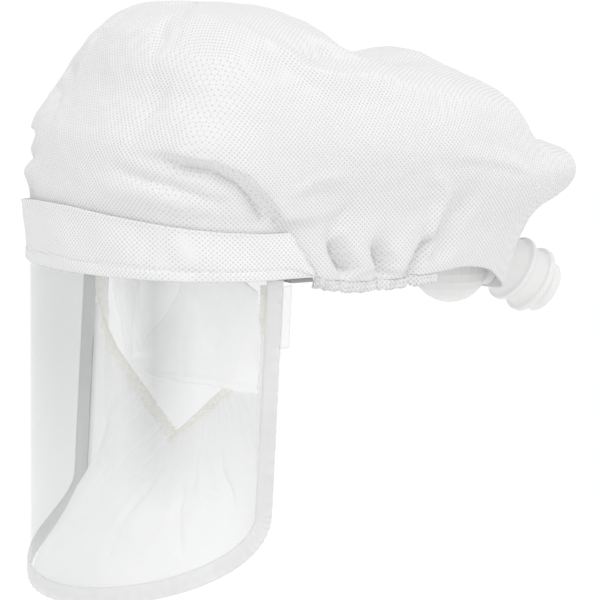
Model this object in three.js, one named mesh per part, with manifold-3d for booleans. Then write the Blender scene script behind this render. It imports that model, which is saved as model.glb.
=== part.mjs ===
// Respirator head cover: a loose cloth crown over a clear wrap-round visor, with a gathered
// face seal under the chin, a headband at the temples and a ridged hose port at the nape.
// Millimetres. +X is the wearer's left, +Y the back of the head, +Z up.
// The origin is the centre of the headband, level with the lower edge of the brow band.

import * as THREE from "three";
import { mergeVertices } from "three/addons/utils/BufferGeometryUtils.js";
import Module from "manifold-3d";

const wasm = await Module();
wasm.setup();

// Driving dimensions
const GAP = 0.4; // clearance between neighbouring pieces
const CROWN_CLOTH = 1.6;
const BAND_CLOTH = 1.4;
const SEAL_CLOTH = 1.2;
const RUFFLE_CLOTH = 1.2;
const FLAP_FILM = 1.0;
const VISOR_SHEET = 1.0;
const TAB_FILM = 1.0;

const HALF_WIDTH = 112; // widest point of the brow, at the temples
const VISOR_DEPTH = 78; // temple plane to the front of the visor
const TEMPLE_Y = -45; // the temple plane, ahead of the headband's centre
const CROWN_REAR = 256; // temple plane to the back of the crown
const CROWN_TOP = 157; // above the lower edge of the brow band
const REAR_SQUARE_SIDE = 2.2; // superellipse powers of the crown's rounded back
const REAR_SQUARE_BACK = 2.4;

const BAND_HEIGHT = 40; // at the brow
const BAND_DROP = 12; // how much lower its top edge is at the temple
const BAND_REACH_TOP = 168; // brow centre to the band's end, along the cloth
const BAND_SLANT = 18; // how much further its lower edge runs
const BAND_REACH_LOW = BAND_REACH_TOP + BAND_SLANT;
const BAND_POINT = 2; // height left at the tip of its slanting end
const TUCK = 9; // crown cloth hidden behind the band
const TUCK_END = 4; // and behind its slanting end
const OVERHANG = 1.5; // the crown swells out this far above the band's top edge
const WAIST_RUN = 12; // past the band's end, where the swelling comes down to the hem

const VISOR_DROP = 201; // band's lower edge to the visor's lowest point
const VISOR_CORNER = 60; // height over which the lower corners round off
const VISOR_SHORT = 6; // its rear edge stops this far short of the band's end, at the top
const VISOR_LEAN = 9; // and leans this far forward down to the corner
const VISOR_REACH_TOP = BAND_REACH_TOP - VISOR_SHORT;
const VISOR_REACH_LOW = VISOR_REACH_TOP - VISOR_LEAN;
const VISOR_LAP = 4; // space between the visor's top edge and the crown's rim

const BINDING_IN = 8; // binding over the visor, measured in from the edge
const BINDING_OUT = 2.5; // and past the edge
const BINDING_CLOTH = 1.0;
const TAB_WIDTH = 6; // film tab behind the binding at each temple
const TAB_HEIGHT = 38;
const TAB_TOP = -4;

const THROAT_DROP = 105; // lowest point of the face opening
const OPENING_INSET = 8; // from the brow's widest point in to the opening, at the temples
const OPENING_HALF = HALF_WIDTH - OPENING_INSET;
const OPENING_TOP = -4;
const OPENING_BACK = 3; // the opening's plane, behind the temple plane
const ELASTIC_WIDTH = 5;
const ELASTIC_THICK = 1.4;
const SEAL_BULGE = 8; // how far the slack seal stands behind the visor's rear edge
const SEAL_RIPPLE = 1.6; // depth of its pleats beside the elastic
const SEAL_PLEATS = 6;

const FLAP_AHEAD = 4; // the inner flap, ahead of the face opening
const HEM_BACK = -27; // height of the crown's rim at the nape
const RUFFLE_HEIGHT = 6;
const RUFFLE_DEPTH = 2.4;
const RUFFLE_GAP = 1.2; // below the crown's rim, whose folds dip a little
const RUFFLE_COUNT = 24; // gathers on each side
const RUFFLE_AFTER = 10; // from the band's end to the start of the gathers, along the hem
const RUFFLE_FROM = BAND_REACH_LOW + RUFFLE_AFTER;
const RUFFLE_SHARE = 0.93; // where they stop beside the port, brow centre to nape

const HEADBAND_HALF_LENGTH = 100;
const HEADBAND_HALF_WIDTH = 78;
const HEADBAND_WALL = 1.8;
const HEADBAND_HEIGHT = 20;
const HEADBAND_LOW = 2.4; // just above the inner flap's top edge
const ARM_THICK = 2.4;
const ARM_FRONT = 1.4; // behind the end of the brow band's top edge
const ARM_WIDTH = 15;
const ARM_LEG = 16; // height of the leg that meets the headband
const ARM_REACH = 1; // its foot's end, past the widest point of the brow and under the band

const PORT_AHEAD = 21; // where the port leaves the cloth, ahead of the back of the crown
const PORT_DROP = 14.5; // and below the band's lower edge
const PORT_CENTRE = new THREE.Vector3(0, TEMPLE_Y + CROWN_REAR - PORT_AHEAD, -PORT_DROP);
const PORT_PITCH = 30.5; // degrees below level
const PORT_BORE = 14;
const PORT_RIDGE = 21.2;
const PORT_INSIDE = 24; // length hidden in the crown
const PORT_LENGTH = 35; // length that shows
const PORT_SIDES = 24;
const LIP_RADIUS = 16.4;
const LIP_CHAMFER = 1;

const PLENUM_RADIUS = 24.5;
const PLENUM_WALL = 2;
const PLENUM_AHEAD = 59; // its axis, ahead of the back of the crown
const PLENUM_BEHIND = CROWN_REAR - PLENUM_AHEAD;
const PLENUM_TOP = 18;
const PLENUM_SHOULDER = -12; // where its wall starts to round under
const PLENUM_BOTTOM = -37;

// Mesh fineness
const CROWN_COLUMNS_FRONT = 12; // on each side, up to the end of the brow band
const CROWN_COLUMNS_REAR = 28;
const CROWN_ROWS_LOW = 2; // from the rim to just above the band
const CROWN_ROWS_HIGH = 14;
const STRIP_COLUMNS = 40;
const SEAL_ROWS = 6;

// Sections of the crown from the hem to the top. Height is a share of CROWN_TOP, front a share
// of VISOR_DEPTH, rear and centre shares of CROWN_REAR, side a share of HALF_WIDTH.
const CROWN_SECTIONS = [
  { height: -0.22, front: 1.0, rear: 0.865, side: 0.9, centre: 0 },
  { height: -0.06, front: 1.0, rear: 0.89, side: 0.97, centre: 0 },
  { height: 0.03, front: 1.0, rear: 0.91, side: 1.0, centre: 0 },
  { height: 0.13, front: 1.0, rear: 0.95, side: 1.0, centre: 0 },
  { height: 0.22, front: 1.0, rear: 1.02, side: 1.0, centre: 0 },
  { height: 0.3, front: 1.0, rear: 1.04, side: 1.02, centre: 0 },
  { height: 0.38, front: 0.97, rear: 0.995, side: 1.04, centre: 0 },
  { height: 0.51, front: 0.91, rear: 0.935, side: 1.04, centre: 0.008 },
  { height: 0.61, front: 0.79, rear: 0.88, side: 1.0, centre: 0.02 },
  { height: 0.7, front: 0.68, rear: 0.78, side: 0.94, centre: 0.031 },
  { height: 0.8, front: 0.59, rear: 0.58, side: 0.84, centre: 0.047 },
  { height: 0.88, front: 0.49, rear: 0.44, side: 0.71, centre: 0.059 },
  { height: 0.945, front: 0.36, rear: 0.34, side: 0.52, centre: 0.07 },
  { height: 0.985, front: 0.12, rear: 0.23, side: 0.3, centre: 0.078 },
  { height: 1.0, front: -0.25, rear: 0.08, side: 0.0, centre: 0.078 },
];

// Folds of the crown, the same on both sides. A fold runs through its points, each a share of
// the half perimeter from brow to nape and a share of CROWN_TOP. Depth is a share of HALF_WIDTH,
// outwards or, where it is negative, inwards. Width is the share of the half perimeter it
// spreads over above its line, and under the part of that width it takes below. It fades out
// over the shares start and end of its length.
const CROWN_FOLDS = [
  // the big fold that overhangs the temple, its valley and the swelling over the band
  {
    points: [[0.13, 0.57], [0.2, 0.53], [0.27, 0.48], [0.31, 0.42], [0.34, 0.28], [0.42, 0.1]],
    depth: 0.05, width: 0.09, under: 0.4, start: 0.4, end: 0.3,
  },
  {
    points: [[0.1, 0.47], [0.18, 0.42], [0.25, 0.35], [0.31, 0.23], [0.37, 0.13]],
    depth: -0.045, width: 0.05, under: 1, start: 0.4, end: 0.3,
  },
  {
    points: [[0.1, 0.36], [0.17, 0.34], [0.24, 0.28]],
    depth: 0.03, width: 0.04, under: 1, start: 0.3, end: 0.3,
  },
  // ridge above the first gather
  {
    points: [[0.36, 0.3], [0.44, 0.39]],
    depth: 0.03, width: 0.035, under: 1, start: 0.3, end: 0.3,
  },
  // deep gathers over the hem, front to back, with the bright ridge between the last two
  {
    points: [[0.47, 0.33], [0.445, 0.24], [0.435, 0.14], [0.46, 0.04], [0.5, -0.04]],
    depth: -0.075, width: 0.037, under: 1, start: 0.5, end: 0.1,
  },
  {
    points: [[0.52, 0.16], [0.535, -0.06]],
    depth: -0.06, width: 0.035, under: 1, start: 0.4, end: 0.1,
  },
  {
    points: [[0.64, 0.14], [0.605, -0.06]],
    depth: -0.06, width: 0.033, under: 1, start: 0.4, end: 0.1,
  },
  {
    points: [[0.61, 0.42], [0.63, 0.2], [0.635, 0.04]],
    depth: 0.06, width: 0.03, under: 1, start: 0.4, end: 0.2,
  },
  {
    points: [[0.66, 0.34], [0.665, 0.19], [0.675, 0.03]],
    depth: -0.06, width: 0.03, under: 1, start: 0.4, end: 0.2,
  },
  // swelling over the gathers and the flatter panel behind them
  {
    points: [[0.46, 0.42], [0.6, 0.48], [0.74, 0.44]],
    depth: 0.04, width: 0.09, under: 0.8, start: 0.3, end: 0.3,
  },
  {
    points: [[0.7, 0.2], [0.8, 0.14], [0.9, 0.1]],
    depth: -0.03, width: 0.06, under: 1, start: 0.3, end: 0.3,
  },
  // pocket behind the top panel, and the saddle across the back with a hump behind it
  {
    points: [[0.5, 0.88], [0.57, 0.84], [0.64, 0.84]],
    depth: -0.06, width: 0.06, under: 1, start: 0.4, end: 0.2,
  },
  {
    points: [[0.6, 0.86], [0.72, 0.85], [1, 0.85]],
    depth: -0.1, width: 0.06, under: 1, start: 0.4, end: 0,
  },
  {
    points: [[0.74, 0.78], [0.88, 0.79], [1, 0.78]],
    depth: 0.04, width: 0.06, under: 1, start: 0.4, end: 0,
  },
  // edge of the top panel
  {
    points: [[0.34, 0.94], [0.46, 0.93], [0.5, 0.86], [0.56, 0.76], [0.68, 0.74]],
    depth: 0.03, width: 0.05, under: 1, start: 0.3, end: 0.3,
  },
  // tail of loose cloth over the port
  {
    points: [[0.84, 0.34], [0.92, 0.29], [1, 0.27]],
    depth: 0.1, width: 0.08, under: 0.7, start: 0.8, end: 0,
  },
  // shallow dents at the front of the top
  {
    points: [[0.15, 0.97], [0.16, 0.86]],
    depth: -0.03, width: 0.06, under: 1, start: 0.3, end: 0.3,
  },
  {
    points: [[0.12, 0.76], [0.18, 0.64]],
    depth: -0.035, width: 0.05, under: 1, start: 0.4, end: 0.4,
  },
];

// The port's outline from its hidden end to the end ring. Along is a share of PORT_LENGTH,
// radius a share of PORT_RIDGE.
const PORT_SECTIONS = [
  { along: -PORT_INSIDE / PORT_LENGTH, radius: 0.85 },
  { along: 0.14, radius: 0.85 },
  { along: 0.2, radius: 0.98 },
  { along: 0.27, radius: 1.0 },
  { along: 0.33, radius: 0.86 },
  { along: 0.56, radius: 0.86 },
  { along: 0.62, radius: 0.98 },
  { along: 0.71, radius: 1.0 },
  { along: 0.78, radius: 0.8 },
];

// The face opening from the throat to a temple: side is a share of OPENING_HALF and drop a
// share of the height from OPENING_TOP down to the throat.
const OPENING_SECTIONS = [
  { side: 0.0, drop: 1.0 },
  { side: 0.16, drop: 0.91 },
  { side: 0.34, drop: 0.8 },
  { side: 0.54, drop: 0.68 },
  { side: 0.73, drop: 0.56 },
  { side: 0.88, drop: 0.4 },
  { side: 0.97, drop: 0.2 },
  { side: 1.0, drop: 0.0 },
];

// The inner flap from the wearer's right to the left. Side is a share of HALF_WIDTH, top and
// low are shares of VISOR_DROP below the band's lower edge.
const FLAP_SECTIONS = [
  { side: -0.66, top: -0.01, low: 0.03 },
  { side: -0.59, top: -0.01, low: 0.15 },
  { side: -0.5, top: -0.01, low: 0.3 },
  { side: -0.4, top: -0.01, low: 0.335 },
  { side: -0.385, top: 0.285, low: 0.34 },
  { side: -0.24, top: 0.235, low: 0.355 },
  { side: -0.08, top: 0.165, low: 0.36 },
  { side: 0.08, top: 0.065, low: 0.36 },
  { side: 0.15, top: 0.0, low: 0.36 },
  { side: 0.32, top: -0.01, low: 0.355 },
  { side: 0.55, top: -0.01, low: 0.35 },
  { side: 0.76, top: 0.005, low: 0.35 },
  { side: 0.965, top: 0.035, low: 0.345 },
];

const materials = {
  cloth: { color: 0xf1f1f2, roughness: 0.85 },
  smoothCloth: { color: 0xf4f4f4, roughness: 0.8 },
  film: { color: 0xe9eaea, roughness: 0.5 },
  clear: { color: 0xd8dcde, roughness: 0.08, transparent: true, opacity: 0.3 },
  elastic: { color: 0xe8e5d8, roughness: 0.6 },
  plastic: { color: 0xeeeced, roughness: 0.4 },
  greyPlastic: { color: 0x9a9c9e, roughness: 0.5 },
};
for (const [name, look] of Object.entries(materials))
  materials[name] = new THREE.MeshStandardMaterial({ metalness: 0, ...look });

const clamp = (x, low = 0, high = 1) => Math.min(high, Math.max(low, x));
const lerp = (a, b, t) => a + (b - a) * t;
const smooth = (t) => {
  const x = clamp(t);
  return x * x * (3 - 2 * x);
};
const radians = THREE.MathUtils.degToRad;

// Smooth reading of one column of a table at share t of its rows (Catmull-Rom).
function readColumn(rows, name, t) {
  const at = clamp(t) * (rows.length - 1);
  const i = Math.min(Math.floor(at), rows.length - 2);
  const value = (k) => rows[clamp(k, 0, rows.length - 1)][name];
  const [p, a, b, q] = [value(i - 1), value(i), value(i + 1), value(i + 2)];
  const x = at - i;
  const tangentA = (b - p) / 2;
  const tangentB = (q - a) / 2;
  return (
    (2 * x ** 3 - 3 * x ** 2 + 1) * a +
    (x ** 3 - 2 * x ** 2 + x) * tangentA +
    (-2 * x ** 3 + 3 * x ** 2) * b +
    (x ** 3 - x ** 2) * tangentB
  );
}

// A half plan curve from the brow centre to the nape, as evenly spaced points with their
// distance along it. x is the side, y is measured back from the temple plane.
function planCurve({ front, rear, side, centre }) {
  const steps = 90;
  const points = [];
  for (let i = 0; i <= steps; i++) {
    const angle = (i / steps) * Math.PI * 0.5;
    points.push([side * Math.sin(angle), centre - (front + centre) * Math.cos(angle)]);
  }
  for (let i = 1; i <= steps; i++) {
    const angle = (i / steps) ** 1.6 * Math.PI * 0.5;
    points.push([
      side * Math.cos(angle) ** (2 / REAR_SQUARE_SIDE),
      centre + (rear - centre) * Math.sin(angle) ** (2 / REAR_SQUARE_BACK),
    ]);
  }
  const along = [0];
  for (let i = 1; i < points.length; i++)
    along.push(along[i - 1] + Math.hypot(points[i][0] - points[i - 1][0], points[i][1] - points[i - 1][1]));
  return { points, along, length: along[along.length - 1] };
}

// The point and outward normal at a distance along a plan curve.
function walk(curve, distance) {
  const d = clamp(distance, 0, curve.length);
  let i = curve.along.findIndex((x) => x >= d);
  i = Math.max(1, i);
  const t = (d - curve.along[i - 1]) / (curve.along[i] - curve.along[i - 1] || 1);
  const [a, b] = [curve.points[i - 1], curve.points[i]];
  const length = Math.hypot(b[0] - a[0], b[1] - a[1]) || 1;
  return {
    x: lerp(a[0], b[0], t),
    y: lerp(a[1], b[1], t),
    nx: (b[1] - a[1]) / length,
    ny: -(b[0] - a[0]) / length,
  };
}

const crownSection = (t) => ({
  height: readColumn(CROWN_SECTIONS, "height", t) * CROWN_TOP,
  front: readColumn(CROWN_SECTIONS, "front", t) * VISOR_DEPTH,
  rear: readColumn(CROWN_SECTIONS, "rear", t) * CROWN_REAR,
  side: readColumn(CROWN_SECTIONS, "side", t) * HALF_WIDTH,
  centre: readColumn(CROWN_SECTIONS, "centre", t) * CROWN_REAR,
});

// The share of the section table at which the crown reaches a height.
function levelAt(height) {
  let [low, high] = [0, 1];
  for (let i = 0; i < 30; i++) {
    const middle = (low + high) / 2;
    if (readColumn(CROWN_SECTIONS, "height", middle) * CROWN_TOP < height) low = middle;
    else high = middle;
  }
  return (low + high) / 2;
}

const BROW_CURVE = planCurve(crownSection(levelAt(BAND_HEIGHT / 2)));
const HALF_PERIMETER = BROW_CURVE.length;

// A point on the visor's curve: distance from the brow centre (positive to the left), height,
// and how far outside the visor's outer face it lies.
function wrap(distance, height, out) {
  const at = walk(BROW_CURVE, Math.abs(distance));
  const side = distance < 0 ? -1 : 1;
  return new THREE.Vector3(side * (at.x + at.nx * out), TEMPLE_Y + at.y + at.ny * out, height);
}

const bandTop = (distance) => BAND_HEIGHT - BAND_DROP * smooth(Math.abs(distance) / BAND_REACH_TOP);

// The band's top edge with its slanting end.
function bandEdge(distance) {
  const slant = (Math.abs(distance) - BAND_REACH_TOP) / BAND_SLANT;
  return lerp(bandTop(distance), BAND_POINT, clamp(slant));
}

// The crown's rim: behind the band as far as the temple, then the hem falling to the nape.
function rimHeight(distance) {
  const d = Math.abs(distance);
  const slant = smooth((d - (BAND_REACH_TOP - TUCK_END)) / BAND_SLANT);
  const nape = clamp((d - BAND_REACH_LOW) / (HALF_PERIMETER - BAND_REACH_LOW));
  return lerp(bandTop(d) - TUCK, HEM_BACK * nape ** 0.75, slant);
}

// A closed body from rows of outer points and the matching inner points.
function sheetGeometry(outer, inner, closed) {
  const rows = outer.length;
  const columns = outer[0].length;
  const positions = [];
  const index = new Map();
  const vertex = (p) => {
    const key = [p.x, p.y, p.z].map((c) => Math.round(c * 1e4)).join();
    if (!index.has(key)) {
      index.set(key, positions.length / 3);
      positions.push(p.x, p.y, p.z);
    }
    return index.get(key);
  };
  const triangles = [];
  const quad = (a, b, c, d) => {
    const [p, q, r, s] = [a, b, c, d].map(vertex);
    for (const t of [[p, q, r], [p, r, s]])
      if (t[0] !== t[1] && t[1] !== t[2] && t[0] !== t[2]) triangles.push(t);
  };
  const last = closed ? columns : columns - 1;
  for (let i = 0; i < rows - 1; i++)
    for (let j = 0; j < last; j++) {
      const k = (j + 1) % columns;
      quad(outer[i][j], outer[i][k], outer[i + 1][k], outer[i + 1][j]);
      quad(inner[i][k], inner[i][j], inner[i + 1][j], inner[i + 1][k]);
    }
  for (let j = 0; j < last; j++) {
    const k = (j + 1) % columns;
    quad(inner[0][j], inner[0][k], outer[0][k], outer[0][j]);
    quad(outer[rows - 1][j], outer[rows - 1][k], inner[rows - 1][k], inner[rows - 1][j]);
  }
  if (!closed)
    for (let i = 0; i < rows - 1; i++) {
      quad(inner[i][0], outer[i][0], outer[i + 1][0], inner[i + 1][0]);
      quad(outer[i][last], inner[i][last], inner[i + 1][last], outer[i + 1][last]);
    }
  return facingOut(positions, triangles);
}

// A geometry whose faces point out, whichever way its triangles were listed.
function facingOut(positions, triangles) {
  const point = (i) => new THREE.Vector3().fromArray(positions, i * 3);
  let volume = 0;
  for (const [a, b, c] of triangles) volume += point(a).dot(point(b).cross(point(c)));
  const geometry = new THREE.BufferGeometry();
  geometry.setAttribute("position", new THREE.Float32BufferAttribute(positions, 3));
  geometry.setIndex((volume < 0 ? triangles.map(([a, b, c]) => [a, c, b]) : triangles).flat());
  return geometry;
}

// The rows of a sheet moved along their normals. Rows and columns closer than a thousandth
// of a millimetre, as at the crown's top, take the nearest direction that has a length.
function offsetRows(rows, distance, closed) {
  const count = rows[0].length;
  const column = (j) => (closed ? (j + count) % count : clamp(j, 0, count - 1));
  return rows.map((row, i) =>
    row.map((p, j) => {
      const above = rows[Math.min(i + 1, rows.length - 1)][j];
      const below = rows[Math.max(i - 1, 0)][j];
      const across = row[column(j + 1)].clone().sub(row[column(j - 1)]);
      const normal = across.cross(above.clone().sub(below));
      if (normal.length() < 1e-3) normal.set(0, 0, 1);
      return p.clone().addScaledVector(normal.normalize(), distance);
    }),
  );
}

// Joining and cutting closed geometries.
function toSolid(geometry) {
  const bare = geometry.clone();
  bare.deleteAttribute("normal");
  bare.deleteAttribute("uv");
  const merged = mergeVertices(bare, 1e-4);
  return new wasm.Manifold(
    new wasm.Mesh({
      numProp: 3,
      vertProperties: new Float32Array(merged.attributes.position.array),
      triVerts: new Uint32Array(merged.index.array),
    }),
  );
}

function toGeometry(solid) {
  const mesh = solid.getMesh();
  const geometry = new THREE.BufferGeometry();
  geometry.setAttribute("position", new THREE.BufferAttribute(mesh.vertProperties, 3));
  geometry.setIndex(new THREE.BufferAttribute(mesh.triVerts, 1));
  return geometry;
}

const portAxis = new THREE.Vector3(0, Math.cos(radians(PORT_PITCH)), -Math.sin(radians(PORT_PITCH)));
const neckRadius = PORT_SECTIONS[0].radius * PORT_RIDGE;

// Stands a lathe or cylinder, made along +Y, on the port's axis.
function alongPort(geometry) {
  const turn = new THREE.Quaternion().setFromUnitVectors(new THREE.Vector3(0, 1, 0), portAxis);
  return geometry
    .applyQuaternion(turn)
    .translate(PORT_CENTRE.x, PORT_CENTRE.y, PORT_CENTRE.z);
}

// A plain cylinder on the port's axis, for cutting what the port passes through.
function portCutter(radius, from, to) {
  const cutter = new THREE.CylinderGeometry(radius, radius, to - from, PORT_SIDES);
  cutter.translate(0, (from + to) / 2, 0);
  return alongPort(cutter);
}

// How far the folds move the crown's cloth outwards at one place.
function foldDepth(around, height) {
  const depths = CROWN_FOLDS.map((fold) => fold.depth * foldShape(fold, around, height));
  return HALF_WIDTH * depths.reduce((sum, depth) => sum + depth, 0);
}

// 1 on the fold's line, falling smoothly to 0 at its width and towards its ends.
function foldShape(fold, around, height) {
  const aspect = CROWN_TOP / HALF_PERIMETER;
  const last = fold.points.length - 1;
  let nearest = Infinity;
  let share = 0;
  let width = fold.width;
  for (let i = 0; i < last; i++) {
    const [start, end] = [fold.points[i], fold.points[i + 1]];
    const [dx, dy] = [end[0] - start[0], (end[1] - start[1]) * aspect];
    const [px, py] = [around - start[0], (height - start[1]) * aspect];
    const t = clamp((px * dx + py * dy) / (dx * dx + dy * dy));
    const distance = Math.hypot(px - t * dx, py - t * dy);
    if (distance < nearest) {
      nearest = distance;
      share = (i + t) / last;
      width = fold.width * (dx * py < dy * px ? fold.under : 1);
    }
  }
  const fadeIn = fold.start ? smooth(share / fold.start) : 1;
  const fadeOut = fold.end ? smooth((1 - share) / fold.end) : 1;
  return smooth(1 - nearest / width) * fadeIn * fadeOut;
}

// The height at which the crown comes free of the band: just above the band's top edge, and a
// little above the hem where there is no band.
function waistHeight(distance) {
  const beyond = smooth((distance - BAND_REACH_TOP) / (BAND_SLANT + WAIST_RUN));
  return lerp(bandTop(distance) + OVERHANG, rimHeight(distance) + TUCK, beyond);
}

// A point of the crown's outer surface, on the wearer's left where side is 1, at share around
// of the half perimeter and share level of the section table. Behind the band it follows the
// band's own curve.
function crownPoint(side, around, level) {
  const distance = around * HALF_PERIMETER;
  const section = crownSection(level);
  if (level === 1) return new THREE.Vector3(0, TEMPLE_Y + section.centre, section.height);
  const curve = planCurve(section);
  const loose = walk(curve, around * curve.length);
  const banded = walk(BROW_CURVE, distance);
  const above = smooth((section.height - bandTop(distance) - OVERHANG) / 9);
  const beyond = smooth((distance - BAND_REACH_LOW) / 20);
  const free = Math.max(above, beyond);
  const out = foldDepth(around, section.height / CROWN_TOP) * free - GAP * (1 - free);
  const x = lerp(banded.x, loose.x, free) + lerp(banded.nx, loose.nx, free) * out;
  const y = lerp(banded.y, loose.y, free) + lerp(banded.ny, loose.ny, free) * out;
  return new THREE.Vector3(side * x, TEMPLE_Y + y, section.height);
}

// The shares of the half perimeter at which the crown's columns stand.
function crownShares() {
  const end = BAND_REACH_TOP / HALF_PERIMETER;
  const front = Array.from({ length: CROWN_COLUMNS_FRONT }, (_, i) => (end * i) / CROWN_COLUMNS_FRONT);
  const rear = Array.from(
    { length: CROWN_COLUMNS_REAR },
    (_, i) => end + ((1 - end) * i) / CROWN_COLUMNS_REAR,
  );
  return [...front, ...rear];
}

function makeCrown() {
  const shares = crownShares();
  const places = [
    ...shares.map((share) => [1, share]),
    [1, 1],
    ...shares.slice(1).reverse().map((share) => [-1, share]),
  ];
  const outer = [];
  for (let i = 0; i <= CROWN_ROWS_LOW + CROWN_ROWS_HIGH; i++)
    outer.push(
      places.map(([side, share]) => {
        const distance = share * HALF_PERIMETER;
        const [rim, waist] = [levelAt(rimHeight(distance)), levelAt(waistHeight(distance))];
        const level =
          i < CROWN_ROWS_LOW
            ? lerp(rim, waist, i / CROWN_ROWS_LOW)
            : lerp(waist, 1, (i - CROWN_ROWS_LOW) / CROWN_ROWS_HIGH);
        return crownPoint(side, share, level);
      }),
    );
  const shell = toSolid(sheetGeometry(outer, offsetRows(outer, -CROWN_CLOTH, true), true));
  return toGeometry(shell.subtract(toSolid(portCutter(neckRadius + GAP, -PORT_INSIDE, PORT_LENGTH))));
}

// A strip that follows the visor's curve, from rows that each give a distance and a height.
function wrappedStrip(rows, out, thickness) {
  const grid = (offset) =>
    rows.map((row) => row.map(([distance, height]) => wrap(distance, height, offset)));
  return sheetGeometry(grid(out + thickness), grid(out), false);
}

// Shares from -1 at the wearer's right to 1 at the left.
const spread = (columns) => Array.from({ length: columns + 1 }, (_, j) => (2 * j) / columns - 1);

function makeBrowBand() {
  const inner = spread(STRIP_COLUMNS).map((u) => u * BAND_REACH_TOP);
  const ends = [0.33, 0.66, 1].map((t) => lerp(BAND_REACH_TOP, BAND_REACH_LOW, t));
  const distances = [...ends.map((d) => -d).reverse(), ...inner, ...ends];
  return wrappedStrip(
    [0, 1].map((share) => distances.map((d) => [d, bandEdge(d) * share])),
    GAP,
    BAND_CLOTH,
  );
}

// The visor's lower and rear edge in its flat pattern, at share u from the right to the left.
function visorLow(u) {
  const height = -VISOR_DROP + VISOR_CORNER * (1 - Math.sqrt(1 - Math.min(1, u * u)));
  return [u * VISOR_REACH_LOW, height];
}

function visorTop(u) {
  const distance = u * VISOR_REACH_TOP;
  return [distance, bandTop(distance) - TUCK - VISOR_LAP];
}

// Columns crowd towards the ends, where the lower corners round off.
const crowd = (u) => Math.sin(u * Math.PI * 0.5);

function makeVisor() {
  const shares = spread(STRIP_COLUMNS).map(crowd);
  return wrappedStrip([shares.map(visorLow), shares.map(visorTop)], -VISOR_SHEET, VISOR_SHEET);
}

// Where the visor's slanting rear edge is at a height.
function rearEdge(height) {
  const corner = -VISOR_DROP + VISOR_CORNER;
  return lerp(VISOR_REACH_LOW, VISOR_REACH_TOP, (height - corner) / (visorTop(1)[1] - corner));
}

// The visor's free edge below the brow band, in the flat pattern, with its outward direction,
// from the right temple along the bottom to the left temple as u runs from -1 to 1.
function visorEdge(u) {
  const bottom = 0.62; // the share of the columns that the rounded bottom takes
  const flat = (s) => {
    if (s <= bottom) return visorLow(crowd(s / bottom));
    const height = lerp(-VISOR_DROP + VISOR_CORNER, -GAP, (s - bottom) / (1 - bottom));
    return [rearEdge(height), height];
  };
  const share = Math.abs(u);
  const step = 0.004;
  const [before, after] = [flat(Math.max(0, share - step)), flat(Math.min(1, share + step))];
  const [dx, dy] = [after[0] - before[0], after[1] - before[1]];
  const length = Math.hypot(dx, dy);
  const [distance, height] = flat(share);
  const side = u < 0 ? -1 : 1;
  return { distance: side * distance, height, outX: (side * dy) / length, outY: -dx / length };
}

function makeBinding() {
  const edge = (inset) =>
    spread(STRIP_COLUMNS + 12).map((u) => {
      const at = visorEdge(u);
      return [at.distance - at.outX * inset, Math.min(at.height - at.outY * inset, -GAP)];
    });
  return wrappedStrip([edge(-BINDING_OUT), edge(BINDING_IN)], GAP, BINDING_CLOTH);
}

function makeSideTab(side) {
  const start = (height) => rearEdge(height) + BINDING_OUT + GAP;
  const rows = [TAB_TOP - TAB_HEIGHT, TAB_TOP].map((height) => {
    const distances = [0, TAB_WIDTH / 2, TAB_WIDTH].map((d) => side * (start(height) + d));
    return (side < 0 ? distances.reverse() : distances).map((d) => [d, height]);
  });
  return wrappedStrip(rows, GAP, TAB_FILM);
}

// The face opening's edge, from the right temple round under the chin to the left temple.
function openingEdge(u) {
  const share = Math.abs(u);
  return new THREE.Vector3(
    Math.sign(u) * OPENING_HALF * readColumn(OPENING_SECTIONS, "side", share),
    TEMPLE_Y + OPENING_BACK,
    OPENING_TOP - (THROAT_DROP + OPENING_TOP) * readColumn(OPENING_SECTIONS, "drop", share),
  );
}

// The face seal's surface from the visor's edge (t is 0) to the face opening (t is 1). It hangs
// slack at the sides and is pleated where the elastic gathers it.
function sealPoint(u, t) {
  const edge = visorEdge(u);
  const inset = 1;
  const start = wrap(
    edge.distance - edge.outX * inset,
    Math.min(edge.height - edge.outY * inset, OPENING_TOP),
    -VISOR_SHEET - GAP - SEAL_CLOTH,
  );
  const share = Math.abs(u);
  const slack = smooth((share - 0.35) / 0.3) * smooth((1 - share) / 0.12);
  const pleat = Math.sin(share * Math.PI * 2 * SEAL_PLEATS) * smooth((0.8 - share) / 0.3);
  const p = start.lerp(openingEdge(u), t);
  p.y += SEAL_BULGE * slack * Math.sin(Math.PI * Math.sqrt(clamp(t)));
  p.y += SEAL_RIPPLE * pleat * smooth(t * 1.6) * smooth((1 - t) * 5);
  return p;
}

// Rows of the seal between two shares of its width, each worked out from the width at a column.
function sealRows(from, to, count) {
  return Array.from({ length: count + 1 }, (_, i) =>
    spread(STRIP_COLUMNS).map((u) => {
      const width = sealPoint(u, 0).distanceTo(openingEdge(u));
      return sealPoint(u, lerp(from(width), to(width), i / count));
    }),
  );
}

function makeFaceSeal() {
  const inside = sealRows(() => 0, (width) => 1 - (ELASTIC_WIDTH + GAP) / width, SEAL_ROWS);
  return sheetGeometry(inside, offsetRows(inside, -SEAL_CLOTH, false), false);
}

function makeElastic() {
  const inside = sealRows((width) => 1 - ELASTIC_WIDTH / width, () => 1, 1);
  return sheetGeometry(inside, offsetRows(inside, -ELASTIC_THICK, false), false);
}

function makeInnerFlap() {
  const edge = (name) =>
    FLAP_SECTIONS.map(
      (section) =>
        new THREE.Vector3(
          section.side * HALF_WIDTH,
          TEMPLE_Y + OPENING_BACK - FLAP_AHEAD,
          -section[name] * VISOR_DROP,
        ),
    );
  const [top, low] = [edge("top"), edge("low")];
  const rows = [0, 0.33, 0.67, 1].map((t) => low.map((p, j) => p.clone().lerp(top[j], t)));
  return sheetGeometry(rows, offsetRows(rows, -FLAP_FILM, false), false);
}

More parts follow.
